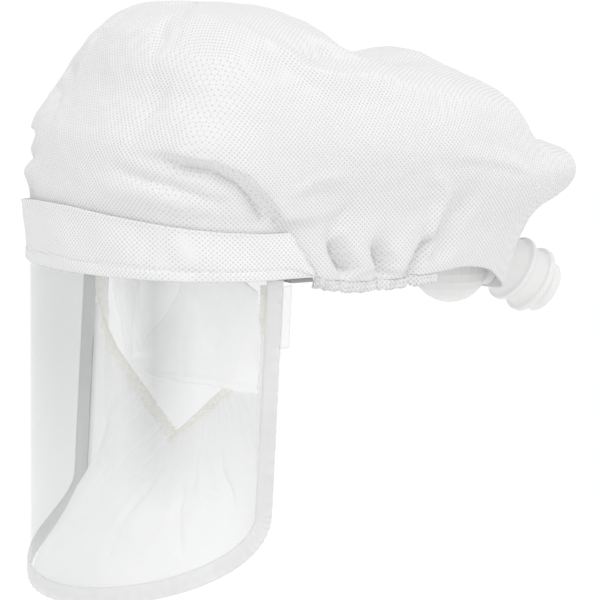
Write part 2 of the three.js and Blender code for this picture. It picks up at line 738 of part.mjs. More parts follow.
// The gathered hem on one side, hanging below the crown's rim from behind the temple to the
// port. It waves in and out, once per gather.
function makeRuffle(side) {
  const columns = RUFFLE_COUNT * 2;
  const start = RUFFLE_FROM / HALF_PERIMETER;
  const top = [];
  const low = [];
  for (let j = 0; j <= columns; j++) {
    const around = lerp(start, RUFFLE_SHARE, j / columns);
    const level = levelAt(rimHeight(around * HALF_PERIMETER));
    const rim = crownPoint(side, around, level);
    const inward = new THREE.Vector3(-rim.x, TEMPLE_Y - rim.y, 0).normalize();
    const wave = (j % 2) * RUFFLE_DEPTH;
    top.push(rim.clone().addScaledVector(inward, wave * 0.4).setZ(rim.z - RUFFLE_GAP));
    low.push(rim.clone().addScaledVector(inward, wave).setZ(rim.z - RUFFLE_GAP - RUFFLE_HEIGHT));
  }
  const rows = [low, top];
  return sheetGeometry(rows, offsetRows(rows, -side * RUFFLE_CLOTH, false), false);
}

// A ring that follows an ellipse about the origin, made as a flat outline and raised.
function makeHeadband() {
  const outline = new THREE.Shape();
  outline.absellipse(0, 0, HEADBAND_HALF_WIDTH, HEADBAND_HALF_LENGTH, 0, Math.PI * 2);
  const hole = new THREE.Path();
  const [width, length] = [HEADBAND_HALF_WIDTH - HEADBAND_WALL, HEADBAND_HALF_LENGTH - HEADBAND_WALL];
  hole.absellipse(0, 0, width, length, 0, Math.PI * 2);
  outline.holes.push(hole);
  const geometry = new THREE.ExtrudeGeometry(outline, {
    depth: HEADBAND_HEIGHT,
    bevelEnabled: false,
    curveSegments: 20,
  });
  return geometry.translate(0, 0, HEADBAND_LOW);
}

// The plastic arm that holds the headband to the brow band: an upright leg against the
// headband and a flat foot reaching out under the band.
function makeTempleArm(side) {
  const back = wrap(BAND_REACH_TOP, 0, 0).y + ARM_FRONT;
  const reach = Math.sqrt(1 - ((back + ARM_WIDTH) / HEADBAND_HALF_LENGTH) ** 2);
  const inner = HEADBAND_HALF_WIDTH * reach + GAP;
  const outer = HALF_WIDTH + ARM_REACH;
  const top = -GAP;
  const profile = new THREE.Shape();
  profile.moveTo(inner, top - ARM_THICK);
  profile.lineTo(outer, top - ARM_THICK);
  profile.lineTo(outer, top);
  profile.lineTo(inner + ARM_THICK, top);
  profile.lineTo(inner + ARM_THICK, top + ARM_LEG);
  profile.lineTo(inner, top + ARM_LEG);
  const geometry = new THREE.ExtrudeGeometry(profile, { depth: ARM_WIDTH, bevelEnabled: false });
  geometry.rotateX(Math.PI / 2).translate(0, back + ARM_WIDTH, 0);
  return side > 0 ? geometry : geometry.rotateZ(Math.PI).translate(0, 2 * back + ARM_WIDTH, 0);
}

// A closed ring turned about +Y from an outline of radius and distance along the axis.
function turned(outline) {
  const points = [...outline, outline[0]].map(([radius, along]) => new THREE.Vector2(radius, along));
  return new THREE.LatheGeometry(points, PORT_SIDES);
}

function makePort() {
  const outside = PORT_SECTIONS.map(({ along, radius }) => [radius * PORT_RIDGE, along * PORT_LENGTH]);
  const [first, last] = [outside[0][1], outside[outside.length - 1][1]];
  return alongPort(turned([[PORT_BORE, first], ...outside, [PORT_BORE, last]]));
}

function makePortLip() {
  const end = PORT_SECTIONS[PORT_SECTIONS.length - 1].along * PORT_LENGTH;
  return alongPort(
    turned([
      [PORT_BORE, end + GAP],
      [LIP_RADIUS, end + GAP],
      [LIP_RADIUS, PORT_LENGTH - LIP_CHAMFER],
      [LIP_RADIUS - LIP_CHAMFER / 2, PORT_LENGTH],
      [PORT_BORE, PORT_LENGTH],
    ]),
  );
}

// The air plenum: a round-bottomed cup, open above, that the port's hidden end enters.
function makePlenum() {
  const steps = 7;
  const bowl = (inset) =>
    Array.from({ length: steps + 1 }, (_, i) => {
      const angle = (i / steps) * Math.PI * 0.5;
      const radius = (PLENUM_RADIUS - inset) * Math.sin(angle);
      const depth = PLENUM_SHOULDER - PLENUM_BOTTOM - inset;
      return new THREE.Vector2(radius, PLENUM_SHOULDER - depth * Math.cos(angle));
    });
  const profile = [
    ...bowl(0),
    new THREE.Vector2(PLENUM_RADIUS, PLENUM_TOP),
    new THREE.Vector2(PLENUM_RADIUS - PLENUM_WALL, PLENUM_TOP),
    ...bowl(PLENUM_WALL).reverse(),
  ];
  const cup = new THREE.LatheGeometry(profile, PORT_SIDES);
  cup.rotateX(Math.PI / 2).translate(0, TEMPLE_Y + PLENUM_BEHIND, 0);
  const hole = toSolid(portCutter(neckRadius + GAP, -PORT_INSIDE - GAP, PORT_LENGTH));
  return toGeometry(toSolid(cup).subtract(hole));
}

const headCover = new THREE.Group();

function addPiece(name, geometry, material) {
  const mesh = new THREE.Mesh(geometry, material);
  mesh.name = name;
  headCover.add(mesh);
}

addPiece("crown", makeCrown(), materials.cloth);
addPiece("brow_band", makeBrowBand(), materials.cloth);
addPiece("nape_ruffle_left", makeRuffle(1), materials.cloth);
addPiece("nape_ruffle_right", makeRuffle(-1), materials.cloth);
addPiece("visor", makeVisor(), materials.clear);
addPiece("visor_binding", makeBinding(), materials.smoothCloth);
addPiece("side_tab_left", makeSideTab(1), materials.film);
addPiece("side_tab_right", makeSideTab(-1), materials.film);
addPiece("face_seal", makeFaceSeal(), materials.smoothCloth);
addPiece("face_elastic", makeElastic(), materials.elastic);
addPiece("inner_flap", makeInnerFlap(), materials.film);
addPiece("headband", makeHeadband(), materials.plastic);
addPiece("temple_arm_left", makeTempleArm(1), materials.greyPlastic);
addPiece("temple_arm_right", makeTempleArm(-1), materials.greyPlastic);
addPiece("plenum", makePlenum(), materials.plastic);
addPiece("hose_port", makePort(), materials.plastic);
addPiece("port_lip", makePortLip(), materials.plastic);

export default headCover;
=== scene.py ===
"""Looks for a respirator head cover: cloth crown, clear visor, face seal and hose port."""

import math

import bmesh
import bpy
import numpy as np
from bpy.props import FloatProperty, FloatVectorProperty, PointerProperty
from mathutils import Matrix, Vector, noise


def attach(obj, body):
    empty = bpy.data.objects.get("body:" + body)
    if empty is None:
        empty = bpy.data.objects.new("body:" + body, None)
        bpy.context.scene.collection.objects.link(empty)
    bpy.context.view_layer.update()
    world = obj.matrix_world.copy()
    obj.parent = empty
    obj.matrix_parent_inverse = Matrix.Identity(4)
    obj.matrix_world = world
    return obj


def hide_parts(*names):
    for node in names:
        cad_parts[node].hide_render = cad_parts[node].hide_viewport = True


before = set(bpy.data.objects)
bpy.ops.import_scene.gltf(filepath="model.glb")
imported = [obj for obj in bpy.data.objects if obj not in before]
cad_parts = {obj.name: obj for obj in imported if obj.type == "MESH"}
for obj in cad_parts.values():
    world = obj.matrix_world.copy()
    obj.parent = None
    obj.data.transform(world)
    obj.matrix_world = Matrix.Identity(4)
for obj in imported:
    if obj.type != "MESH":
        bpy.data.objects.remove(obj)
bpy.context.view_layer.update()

bl_info = {
    "name": "Respirator Head Cover",
    "version": (1, 0, 0),
    "blender": (4, 5, 0),
    "location": "3D View > Sidebar > Head Cover",
    "description": "Builds the cloth, clear and moulded pieces of a respirator head cover",
    "category": "Object",
}


def table(columns, *rows):
    """A table's rows, each by the names of its columns."""
    return [dict(zip(columns, row)) for row in rows]


# Sections of the crown from the hem to the top. Height is a share of the crown's height, front
# of the visor's depth, rear and centre of the crown's rear reach, side of the half width.
CROWN_SECTIONS = table(
    ("height", "front", "rear", "side", "centre"),
    (-0.22, 1.0, 0.865, 0.9, 0.0),
    (-0.06, 1.0, 0.89, 0.97, 0.0),
    (0.03, 1.0, 0.91, 1.0, 0.0),
    (0.13, 1.0, 0.95, 1.0, 0.0),
    (0.22, 1.0, 1.02, 1.0, 0.0),
    (0.3, 1.0, 1.04, 1.02, 0.0),
    (0.38, 0.97, 0.995, 1.04, 0.0),
    (0.51, 0.905, 0.93, 1.04, 0.008),
    (0.61, 0.78, 0.86, 1.0, 0.02),
    (0.7, 0.66, 0.74, 0.94, 0.031),
    (0.8, 0.565, 0.545, 0.84, 0.047),
    (0.88, 0.465, 0.4, 0.71, 0.059),
    (0.945, 0.34, 0.3, 0.52, 0.07),
    (0.985, 0.12, 0.23, 0.3, 0.078),
    (1.0, -0.25, 0.08, 0.0, 0.078),
)

# Folds of the crown. Points are shares of the half perimeter from brow to nape and of the
# crown's height. Depth is a share of the half width, width a share of the half perimeter on
# each side of the line, under the part of it taken below the line. start and end are the
# shares of the fold's length over which it fades, and crease runs from a soft fold at 0 to a
# sharp one at 1. side is 1 for the left alone, -1 for the right alone, 0 for both.
CROWN_FOLDS = [
    # the big fold over the temple: the lip that overhangs, the valley under it
    {"points": [(0.13, 0.502), (0.19, 0.495), (0.22, 0.48), (0.263, 0.465), (0.301, 0.418), (0.319, 0.352),
                (0.347, 0.24), (0.395, 0.128), (0.431, 0.054)],
     "depth": 0.045, "width": 0.07, "under": 0.1, "start": 0.35, "end": 0.15, "crease": 0.2, "side": 0},
    {"points": [(0.13, 0.475), (0.19, 0.465), (0.22, 0.447), (0.257, 0.428), (0.289, 0.378), (0.305, 0.31),
                (0.33, 0.21), (0.37, 0.12)],
     "depth": -0.055, "width": 0.012, "under": 1.8, "start": 0.3, "end": 0.25, "crease": 0.9, "side": 0},
    {"points": [(0.09, 0.44), (0.14, 0.4), (0.19, 0.37), (0.24, 0.33), (0.285, 0.27)],
     "depth": -0.025, "width": 0.016, "under": 1.0, "start": 0.3, "end": 0.3, "crease": 0.6, "side": 0},
    {"points": [(0.06, 0.34), (0.13, 0.34), (0.2, 0.31), (0.27, 0.27)],
     "depth": 0.018, "width": 0.025, "under": 0.8, "start": 0.3, "end": 0.3, "crease": 0.1, "side": 0},
    # thin ridge above the first gather
    {"points": [(0.35, 0.3), (0.375, 0.34), (0.401, 0.364), (0.441, 0.387), (0.465, 0.395)],
     "depth": 0.02, "width": 0.013, "under": 1.2, "start": 0.4, "end": 0.4, "crease": 0.7, "side": 0},
    # deep gathers over the hem
    {"points": [(0.466, 0.34), (0.447, 0.244), (0.441, 0.17), (0.441, 0.135), (0.455, 0.1)],
     "depth": -0.06, "width": 0.02, "under": 1.0, "start": 0.6, "end": 0.1, "crease": 0.7, "side": 0},
    {"points": [(0.445, 0.125), (0.465, 0.07), (0.49, -0.02)],
     "depth": -0.1, "width": 0.022, "under": 0.8, "start": 0.3, "end": 0.1, "crease": 0.6, "side": 0},
    {"points": [(0.515, 0.14), (0.53, 0.08), (0.547, 0.02), (0.55, -0.04)],
     "depth": -0.1, "width": 0.02, "under": 0.8, "start": 0.5, "end": 0.1, "crease": 0.6, "side": 0},
    {"points": [(0.625, 0.13), (0.612, 0.06), (0.6, -0.04)],
     "depth": -0.09, "width": 0.02, "under": 1.0, "start": 0.3, "end": 0.1, "crease": 0.6, "side": 0},
    {"points": [(0.605, 0.42), (0.6, 0.33), (0.605, 0.22), (0.622, 0.11), (0.63, 0.02)],
     "depth": 0.05, "width": 0.024, "under": 0.8, "start": 0.4, "end": 0.2, "crease": 0.4, "side": 0},
    {"points": [(0.665, 0.34), (0.645, 0.22), (0.65, 0.1), (0.66, 0.0)],
     "depth": -0.04, "width": 0.035, "under": 1.0, "start": 0.4, "end": 0.2, "crease": 0.2, "side": 0},
    {"points": [(0.61, 0.42), (0.66, 0.415), (0.71, 0.39), (0.76, 0.35), (0.775, 0.28)],
     "depth": 0.02, "width": 0.03, "under": 0.4, "start": 0.3, "end": 0.3, "crease": 0.4, "side": 0},
    {"points": [(0.49, 0.24), (0.5, 0.1), (0.515, -0.02)],
     "depth": 0.014, "width": 0.03, "under": 1.0, "start": 0.5, "end": 0.1, "crease": 0.0, "side": 0},
    {"points": [(0.575, 0.24), (0.578, 0.1), (0.575, -0.02)],
     "depth": 0.02, "width": 0.035, "under": 1.0, "start": 0.5, "end": 0.1, "crease": 0.0, "side": 0},
    # swelling over the gathers
    {"points": [(0.42, 0.45), (0.52, 0.47), (0.62, 0.47), (0.74, 0.44)],
     "depth": 0.03, "width": 0.08, "under": 0.8, "start": 0.3, "end": 0.3, "crease": 0.0, "side": 0},
    # rounded edge of the side panel along the top, and the pocket behind it
    {"points": [(0.2, 0.99), (0.236, 0.985), (0.3, 0.97), (0.38, 0.955), (0.449, 0.922), (0.475, 0.885),
                (0.485, 0.853), (0.485, 0.804), (0.507, 0.766), (0.571, 0.743), (0.65, 0.755),
                (0.721, 0.763)],
     "depth": 0.03, "width": 0.02, "under": 2.0, "start": 0.2, "end": 0.2, "crease": 0.3, "side": 0},
    {"points": [(0.5, 0.87), (0.56, 0.84), (0.613, 0.85), (0.67, 0.86)],
     "depth": -0.05, "width": 0.035, "under": 0.8, "start": 0.4, "end": 0.3, "crease": 0.4, "side": 0},
    # saddle across the back and the hump behind it
    {"points": [(0.66, 0.86), (0.76, 0.83), (0.88, 0.82), (1.0, 0.82)],
     "depth": -0.12, "width": 0.04, "under": 0.7, "start": 0.5, "end": 0.0, "crease": 0.3, "side": 0},
    {"points": [(0.88, 0.77), (0.94, 0.765), (1.0, 0.765)],
     "depth": 0.05, "width": 0.035, "under": 0.9, "start": 0.7, "end": 0.0, "crease": 0.0, "side": 0},
    {"points": [(0.84, 0.46), (0.92, 0.46), (1.0, 0.46)],
     "depth": -0.06, "width": 0.05, "under": 0.6, "start": 0.6, "end": 0.0, "crease": 0.2, "side": 0},
    # tail of loose cloth over the port
    {"points": [(0.84, 0.34), (0.92, 0.29), (1.0, 0.27)],
     "depth": 0.09, "width": 0.055, "under": 1.1, "start": 0.8, "end": 0.0, "crease": 0.0, "side": 0},
    # shallow dents and creases at the front and the top
    {"points": [(0.15, 0.99), (0.16, 0.9), (0.17, 0.84)],
     "depth": -0.02, "width": 0.04, "under": 1.0, "start": 0.3, "end": 0.3, "crease": 0.2, "side": 0},
    {"points": [(0.12, 0.76), (0.18, 0.64)],
     "depth": -0.02, "width": 0.05, "under": 1.0, "start": 0.4, "end": 0.4, "crease": 0.2, "side": 0},
    {"points": [(0.08, 0.6), (0.15, 0.64), (0.22, 0.66)],
     "depth": -0.017, "width": 0.014, "under": 1.0, "start": 0.4, "end": 0.3, "crease": 0.4, "side": -1},
    {"points": [(0.1, 0.7), (0.17, 0.73), (0.24, 0.74)],
     "depth": -0.017, "width": 0.014, "under": 1.0, "start": 0.4, "end": 0.3, "crease": 0.4, "side": -1},
    {"points": [(0.1, 0.93), (0.2, 0.95), (0.3, 0.96)],
     "depth": -0.025, "width": 0.014, "under": 1.0, "start": 0.4, "end": 0.3, "crease": 0.6, "side": -1},
]

# Height of the crown's hem from the end of the brow band to the nape, as a share of the drop at
# the nape.
HEM_SECTIONS = [
    {"drop": 0.0},
    {"drop": 0.17},
    {"drop": 0.19},
    {"drop": 0.17},
    {"drop": 0.12},
    {"drop": 0.28},
    {"drop": 0.66},
    {"drop": 0.9},
    {"drop": 1.0},
]

# The face opening from the throat to a temple: side is a share of its half width and drop of
# the height from its top down to the throat.
OPENING_SECTIONS = table(
    ("side", "drop"),
    (0.0, 1.0),
    (0.16, 0.91),
    (0.34, 0.8),
    (0.54, 0.68),
    (0.73, 0.56),
    (0.88, 0.4),
    (0.97, 0.2),
    (1.0, 0.0),
)

# Creases of the face seal. Points are shares from the right temple, -1, to the left one, 1, and
# from the visor's edge, 0, to the face opening, 1. Depth is in metres towards the back, width
# a share of the seal's half length.
SEAL_CREASES = [
    {"points": [(0.08, 0.9), (0.06, 0.71), (0.02, 0.57), (0.04, 0.35), (0.07, 0.17)],
     "depth": 0.0045, "width": 0.028},
    {"points": [(0.13, 0.9), (0.12, 0.7), (0.09, 0.5), (0.11, 0.3)],
     "depth": -0.003, "width": 0.034},
    {"points": [(0.23, 0.64), (0.22, 0.47), (0.25, 0.28), (0.28, 0.11)],
     "depth": 0.0035, "width": 0.024},
    {"points": [(0.3, 0.78), (0.3, 0.6), (0.31, 0.4)],
     "depth": -0.002, "width": 0.03},
    {"points": [(0.4, 0.69), (0.38, 0.56), (0.41, 0.4), (0.43, 0.27)],
     "depth": 0.003, "width": 0.022},
    {"points": [(-0.11, 1.0), (-0.12, 0.91), (-0.16, 0.76), (-0.17, 0.5)],
     "depth": 0.003, "width": 0.02},
    {"points": [(-0.03, 1.0), (-0.04, 0.85), (-0.07, 0.65)],
     "depth": 0.0025, "width": 0.016},
    {"points": [(-0.3, 0.8), (-0.33, 0.5), (-0.34, 0.25)],
     "depth": 0.003, "width": 0.03},
    {"points": [(-0.5, 0.85), (-0.52, 0.5), (-0.5, 0.2)],
     "depth": 0.003, "width": 0.03},
    {"points": [(0.56, 0.8), (0.54, 0.5), (0.5, 0.25)],
     "depth": 0.002, "width": 0.026},
]

# The inner flap from right to left: side is a share of the half width, top and
# low are shares of the visor's height below the band's lower edge.
FLAP_SECTIONS = table(
    ("side", "top", "low"),
    (-0.66, -0.01, 0.03),
    (-0.59, -0.01, 0.15),
    (-0.5, -0.01, 0.3),
    (-0.4, -0.01, 0.335),
    (-0.385, 0.285, 0.34),
    (-0.24, 0.235, 0.355),
    (-0.08, 0.165, 0.36),
    (0.08, 0.065, 0.36),
    (0.15, 0.0, 0.36),
    (0.32, -0.01, 0.355),
    (0.55, -0.01, 0.35),
    (0.76, 0.005, 0.35),
    (0.965, 0.035, 0.345),
)

# The port's outline from its hidden end to the end ring: along is a share of the length that
# shows, radius of the ridges' radius.
PORT_OUTLINE = table(
    ("along", "radius"),
    (-0.685, 0.85),
    (0.15, 0.85),
    (0.19, 0.9),
    (0.2, 0.98),
    (0.22, 1.0),
    (0.27, 1.0),
    (0.3, 0.97),
    (0.33, 0.86),
    (0.56, 0.86),
    (0.61, 0.9),
    (0.62, 0.98),
    (0.64, 1.0),
    (0.71, 1.0),
    (0.74, 0.97),
    (0.78, 0.8),
)


def smooth(t):
    t = np.clip(t, 0.0, 1.0)
    return t * t * (3 - 2 * t)


def lerp(a, b, t):
    return a + (b - a) * t


def column(rows, name, share):
    """One column of a table, read smoothly at shares 0 to 1 of its rows."""
    values = np.array([row[name] for row in rows], float)
    at = np.clip(share, 0, 1) * (len(values) - 1)
    i = np.minimum(at.astype(int), len(values) - 2)
    x = at - i
    a, b = values[i], values[i + 1]
    before, after = values[np.maximum(i - 1, 0)], values[np.minimum(i + 2, len(values) - 1)]
    slope_a, slope_b = (b - before) / 2, (after - a) / 2
    return (
        (2 * x**3 - 3 * x**2 + 1) * a
        + (x**3 - 2 * x**2 + x) * slope_a
        + (-2 * x**3 + 3 * x**2) * b
        + (x**3 - x**2) * slope_b
    )


def near_line(points, a, b, aspect):
    """The distance from (a, b) to a line of points, the share of the line's length at the
    nearest place, and whether the place lies below it. b counts aspect times as much as a."""
    nearest = np.full_like(a, 1e9)
    share = np.zeros_like(a)
    below = np.zeros(a.shape, bool)
    for i, ((a0, b0), (a1, b1)) in enumerate(zip(points, points[1:])):
        da, db = a1 - a0, (b1 - b0) * aspect
        pa, pb = a - a0, (b - b0) * aspect
        t = np.clip((pa * da + pb * db) / (da * da + db * db), 0, 1)
        distance = np.hypot(pa - t * da, pb - t * db)
        near = distance < nearest
        nearest = np.where(near, distance, nearest)
        share = np.where(near, (i + t) / (len(points) - 1), share)
        below = np.where(near, da * pb < db * pa, below)
    return nearest, share, below


def length(name, description, default):
    return FloatProperty(name=name, description=description, default=default, unit="LENGTH")


def colour(name, description, default):
    return FloatVectorProperty(
        name=name, description=description, default=default, subtype="COLOR", size=3, min=0, max=1)


class HeadCoverSizes(bpy.types.PropertyGroup):
    """Sizes of the head cover."""

    half_width: length("Half Width", "Half the visor's width at the temples", 0.112)
    visor_depth: length("Visor Depth", "From the temples to the front of the visor", 0.078)
    temple_y: length("Temple Position", "The temples' plane along Y", -0.045)
    crown_rear: length("Rear Reach", "From the temples to the back of the crown", 0.256)
    crown_top: length("Crown Height", "The crown above the band's lower edge", 0.157)
    crown_cloth: length("Crown Cloth", "Thickness of the crown's cloth", 0.0012)
    band_cloth: length("Band Cloth", "Thickness of the brow band", 0.0013)
    hem_cloth: length("Hem Cloth", "Thickness of the gathered hem", 0.0009)
    visor_sheet: length("Visor Sheet", "Thickness of the clear sheet", 0.0008)
    binding_cloth: length("Binding Cloth", "Thickness of the visor's binding", 0.0009)
    tab_film: length("Tab Film", "Thickness of the film tabs", 0.0007)
    seal_cloth: length("Seal Cloth", "Thickness of the face seal", 0.0007)
    flap_film: length("Flap Film", "Thickness of the inner flap", 0.0006)
    band_height: length("Band Height", "The brow band at the brow", 0.040)
    band_drop: length("Band Drop", "How much lower its top edge is at the temple", 0.012)
    band_reach_top: length("Band Reach, Top", "Brow centre to the end of the top edge", 0.168)
    band_reach_low: length("Band Reach, Low", "Brow centre to the end of the lower edge", 0.186)
    visor_drop: length("Visor Height", "Band's lower edge to the visor's lowest point", 0.201)
    visor_corner: length("Visor Corner", "Height over which the lower corners round off", 0.060)
    visor_reach_top: length("Visor Reach, Top", "Brow centre to the rear edge, at the top", 0.162)
    visor_reach_low: length("Visor Reach, Low", "Brow centre to the rear edge, at the corner", 0.153)
    binding_width: length("Binding Width", "The binding over the visor's edges", 0.0085)
    throat_drop: length("Throat Drop", "Lowest point of the face opening", 0.105)
    opening_half: length("Face Opening", "Half width of the face opening", 0.104)
    seal_bulge: length("Seal Slack", "How far the face seal bulges behind the visor", 0.009)
    gather_pitch: length("Gather Pitch", "Spacing of the hem's gathers", 0.0034)
    port_ridge: length("Port Radius", "Radius over the port's ridges", 0.0212)
    port_bore: length("Port Bore", "Radius of the port's bore", 0.014)
    port_length: length("Port Length", "Length of the port that shows", 0.035)


class HeadCoverColours(bpy.types.PropertyGroup):
    """Colours of the head cover."""

    cloth: colour("Cloth", "Embossed cloth", (0.9, 0.9, 0.903))
    # A lighter copy of the crown's cloth: painted light that brightens the band against its shade.
    band: colour("Band", "Cloth of the brow band", (0.945, 0.945, 0.948))
    seal: colour("Seal", "Smooth thin cloth", (0.95, 0.95, 0.948))
    binding: colour("Binding", "Smooth cloth over the visor's edges", (0.86, 0.86, 0.86))
    film: colour("Film", "Soft frosted film", (0.97, 0.97, 0.968))
    clear: colour("Visor", "What the clear sheet lets through", (0.985, 0.987, 0.987))
    # This grey is the sheet's gloss, and also painted shade where clear_look raises its share.
    clear_gloss_and_shade: colour("Visor Gloss", "What the clear sheet reflects", (0.4, 0.405, 0.41))
    elastic: colour("Elastic", "Elastic of the face opening", (0.93, 0.92, 0.87))
    plastic: colour("Port", "Moulded white plastic", (0.95, 0.95, 0.945))
    grey: colour("Arm", "Grey plastic of the temple arms", (0.3, 0.31, 0.32))


class Form:
    """The head cover's surfaces, worked out from its sizes. Distances run along the visor's
    curve from the brow centre, positive to the left, along +X."""

    OPENING_TOP = -0.004
    OPENING_BACK = 0.003
    TUCK = 0.009
    OVERHANG = 0.0015
    HEM_BACK = -0.029
    STEPS = 240

    def __init__(self, sizes):
        self.s = sizes
        self.shares = np.linspace(0, 1, 361)
        self.levels = np.linspace(0, 1, 301)
        self.heights = column(CROWN_SECTIONS, "height", self.levels) * sizes.crown_top
        curves = [self.plan_curve(self.section(level)) for level in self.levels]
        self.table = np.stack([self.even(curve) for curve in curves])
        brow = self.plan_curve(self.section(self.level_at(sizes.band_height / 2)))
        self.brow = self.even(brow)
        self.half_perimeter = float(np.hypot(*np.diff(brow, axis=1)).sum())

    def section(self, level):
        s = self.s
        level = np.asarray(level, float)
        return {
            "front": column(CROWN_SECTIONS, "front", level) * s.visor_depth,
            "rear": column(CROWN_SECTIONS, "rear", level) * s.crown_rear,
            "side": column(CROWN_SECTIONS, "side", level) * s.half_width,
            "centre": column(CROWN_SECTIONS, "centre", level) * s.crown_rear,
        }

    def plan_curve(self, c):
        """Half a plan outline, brow centre to nape: side and distance behind the temples."""
        angle = np.linspace(0, math.pi / 2, self.STEPS)
        ahead = c["centre"] - (c["front"] + c["centre"]) * np.cos(angle)
        front = np.stack([c["side"] * np.sin(angle), ahead])
        angle = np.linspace(0, 1, self.STEPS) ** 1.6 * math.pi / 2
        cosine = np.clip(np.cos(angle), 0, 1)
        behind = c["centre"] + (c["rear"] - c["centre"]) * np.sin(angle) ** (2 / 2.4)
        rear = np.stack([c["side"] * cosine ** (2 / 2.2), behind])
        return np.concatenate([front, rear[:, 1:]], axis=1)

    def even(self, curve):
        """The outline at even shares of its length, with its outward direction."""
        along = np.concatenate([[0], np.cumsum(np.hypot(*np.diff(curve, axis=1)))])
        x, y = (np.interp(self.shares * along[-1], along, axis) for axis in curve)
        dx, dy = np.gradient(x), np.gradient(y)
        length = np.maximum(np.hypot(dx, dy), 1e-9)
        return np.stack([x, y, dy / length, -dx / length])

    def level_at(self, height):
        return np.interp(height, self.heights, self.levels)

    def band_top(self, distance):
        s = self.s
        return s.band_height - s.band_drop * smooth(np.abs(distance) / s.band_reach_top)

    def band_edge(self, distance):
        s = self.s
        slant = (np.abs(distance) - s.band_reach_top) / (s.band_reach_low - s.band_reach_top)
        return lerp(self.band_top(distance), 0.002, np.clip(slant, 0, 1))

    def rim_height(self, distance):
        s = self.s
        d = np.abs(distance)
        slant = smooth((d - s.band_reach_top + 0.004) / (s.band_reach_low - s.band_reach_top))
        nape = np.clip((d - s.band_reach_low) / (self.half_perimeter - s.band_reach_low), 0, 1)
        return lerp(self.band_top(d) - self.TUCK, self.HEM_BACK * column(HEM_SECTIONS, "drop", nape), slant)

    def waist_height(self, distance):
        s = self.s
        beyond = smooth((distance - s.band_reach_top) / (s.band_reach_low - s.band_reach_top + 0.012))
        return lerp(self.band_top(distance) + self.OVERHANG, self.rim_height(distance) + self.TUCK, beyond)

    def fold_depth(self, side, around, height):
        """How far the folds move the crown's cloth outwards."""
        depth = np.zeros_like(around)
        aspect = self.s.crown_top / self.half_perimeter
        for fold in CROWN_FOLDS:
            nearest, share, below = near_line(fold["points"], around, height, aspect)
            width = fold["width"] * np.where(below, fold["under"], 1)
            rise = np.clip(1 - nearest / width, 0, 1)
            shape = lerp(smooth(rise), rise**2, fold["crease"])
            if fold["start"]:
                shape = shape * smooth(share / fold["start"])
            if fold["end"]:
                shape = shape * smooth((1 - share) / fold["end"])
            if fold["side"]:
                shape = shape * (side == fold["side"])
            depth += fold["depth"] * self.s.half_width * shape
        return depth

    def smooth_crown(self, side, around, level):
        """Points of the crown before it folds, and the share of it that is free of the band."""
        s = self.s
        past, before = around > 1, around < 0
        side = np.where(past | before, -side, side)
        around = np.where(past, 2 - around, np.abs(around))
        distance = around * self.half_perimeter
        row = np.clip(level, 0, 1) * (len(self.levels) - 1)
        i = np.minimum(row.astype(int), len(self.levels) - 2)
        at = np.clip(around, 0, 1) * (len(self.shares) - 1)
        j = np.minimum(at.astype(int), len(self.shares) - 2)
        loose = []
        for k in range(4):
            a = lerp(self.table[i, k, j], self.table[i, k, j + 1], at - j)
            b = lerp(self.table[i + 1, k, j], self.table[i + 1, k, j + 1], at - j)
            loose.append(lerp(a, b, row - i))
        banded = [np.interp(around, self.shares, self.brow[k]) for k in range(4)]
        height = np.interp(level, self.levels, self.heights)
        above = smooth((height - self.band_top(distance) - self.OVERHANG) / 0.009)
        beyond = smooth((distance - s.band_reach_low) / 0.02)
        free = np.maximum(above, beyond)
        x = lerp(banded[0], loose[0], free) - banded[2] * 0.0004 * (1 - free)
        y = lerp(banded[1], loose[1], free) - banded[3] * 0.0004 * (1 - free)
        return np.stack([side * x, s.temple_y + y, height], axis=-1), free

    def crown(self, side, around, level):
        """Points of the crown's outside, moved along its own normals by the folds."""
        points, free = self.smooth_crown(side, around, level)
        step = 0.004
        after, before = (self.smooth_crown(side, around + move, level)[0] for move in (step, -step))
        levels = (np.minimum(level + step, 1), np.maximum(level - step, 0))
        high, low = (self.smooth_crown(side, around, at)[0] for at in levels)
        normal = np.cross(after - before, high - low) * np.asarray(side)[:, None]
        length = np.linalg.norm(normal, axis=1)
        normal = np.where(length[:, None] > 1e-12, normal / np.maximum(length, 1e-12)[:, None], (0, 0, 1))
        height = np.interp(level, self.levels, self.heights) / self.s.crown_top
        return points + normal * (self.fold_depth(side, around, height) * free)[:, None]

    def wrap(self, distance, height, out):
        """A point at a height and an outward distance from the visor's curve."""
        share = np.abs(distance) / self.half_perimeter
        x, y, nx, ny = (np.interp(share, self.shares, self.brow[k]) for k in range(4))
        side = np.where(distance < 0, -1.0, 1.0)
        height = np.broadcast_to(np.asarray(height, float), x.shape)
        return np.stack([side * (x + nx * out), self.s.temple_y + y + ny * out, height], axis=-1)

    def visor_low(self, u):
        s = self.s
        height = -s.visor_drop + s.visor_corner * (1 - np.sqrt(1 - np.minimum(1, u * u)))
        return u * s.visor_reach_low, height

    def visor_top(self, u):
        distance = u * self.s.visor_reach_top
        return distance, self.band_top(distance) - self.TUCK - 0.004

    def rear_edge(self, height):
        s = self.s
        corner = -s.visor_drop + s.visor_corner
        top = float(self.visor_top(np.array(1.0))[1])
        return lerp(s.visor_reach_low, s.visor_reach_top, (height - corner) / (top - corner))

    def visor_edge(self, u):
        """The visor's free edge below the band as u runs from -1 to 1, from the right temple
        under the chin to the left one: distance, height and the direction away from the sheet."""
        s = self.s
        bottom = 0.62

        def flat(share):
            d, h = self.visor_low(np.sin(np.clip(share / bottom, 0, 1) * math.pi / 2))
            rise = lerp(-s.visor_drop + s.visor_corner, -0.0004, (share - bottom) / (1 - bottom))
            straight = share > bottom
            return np.where(straight, self.rear_edge(rise), d), np.where(straight, rise, h)

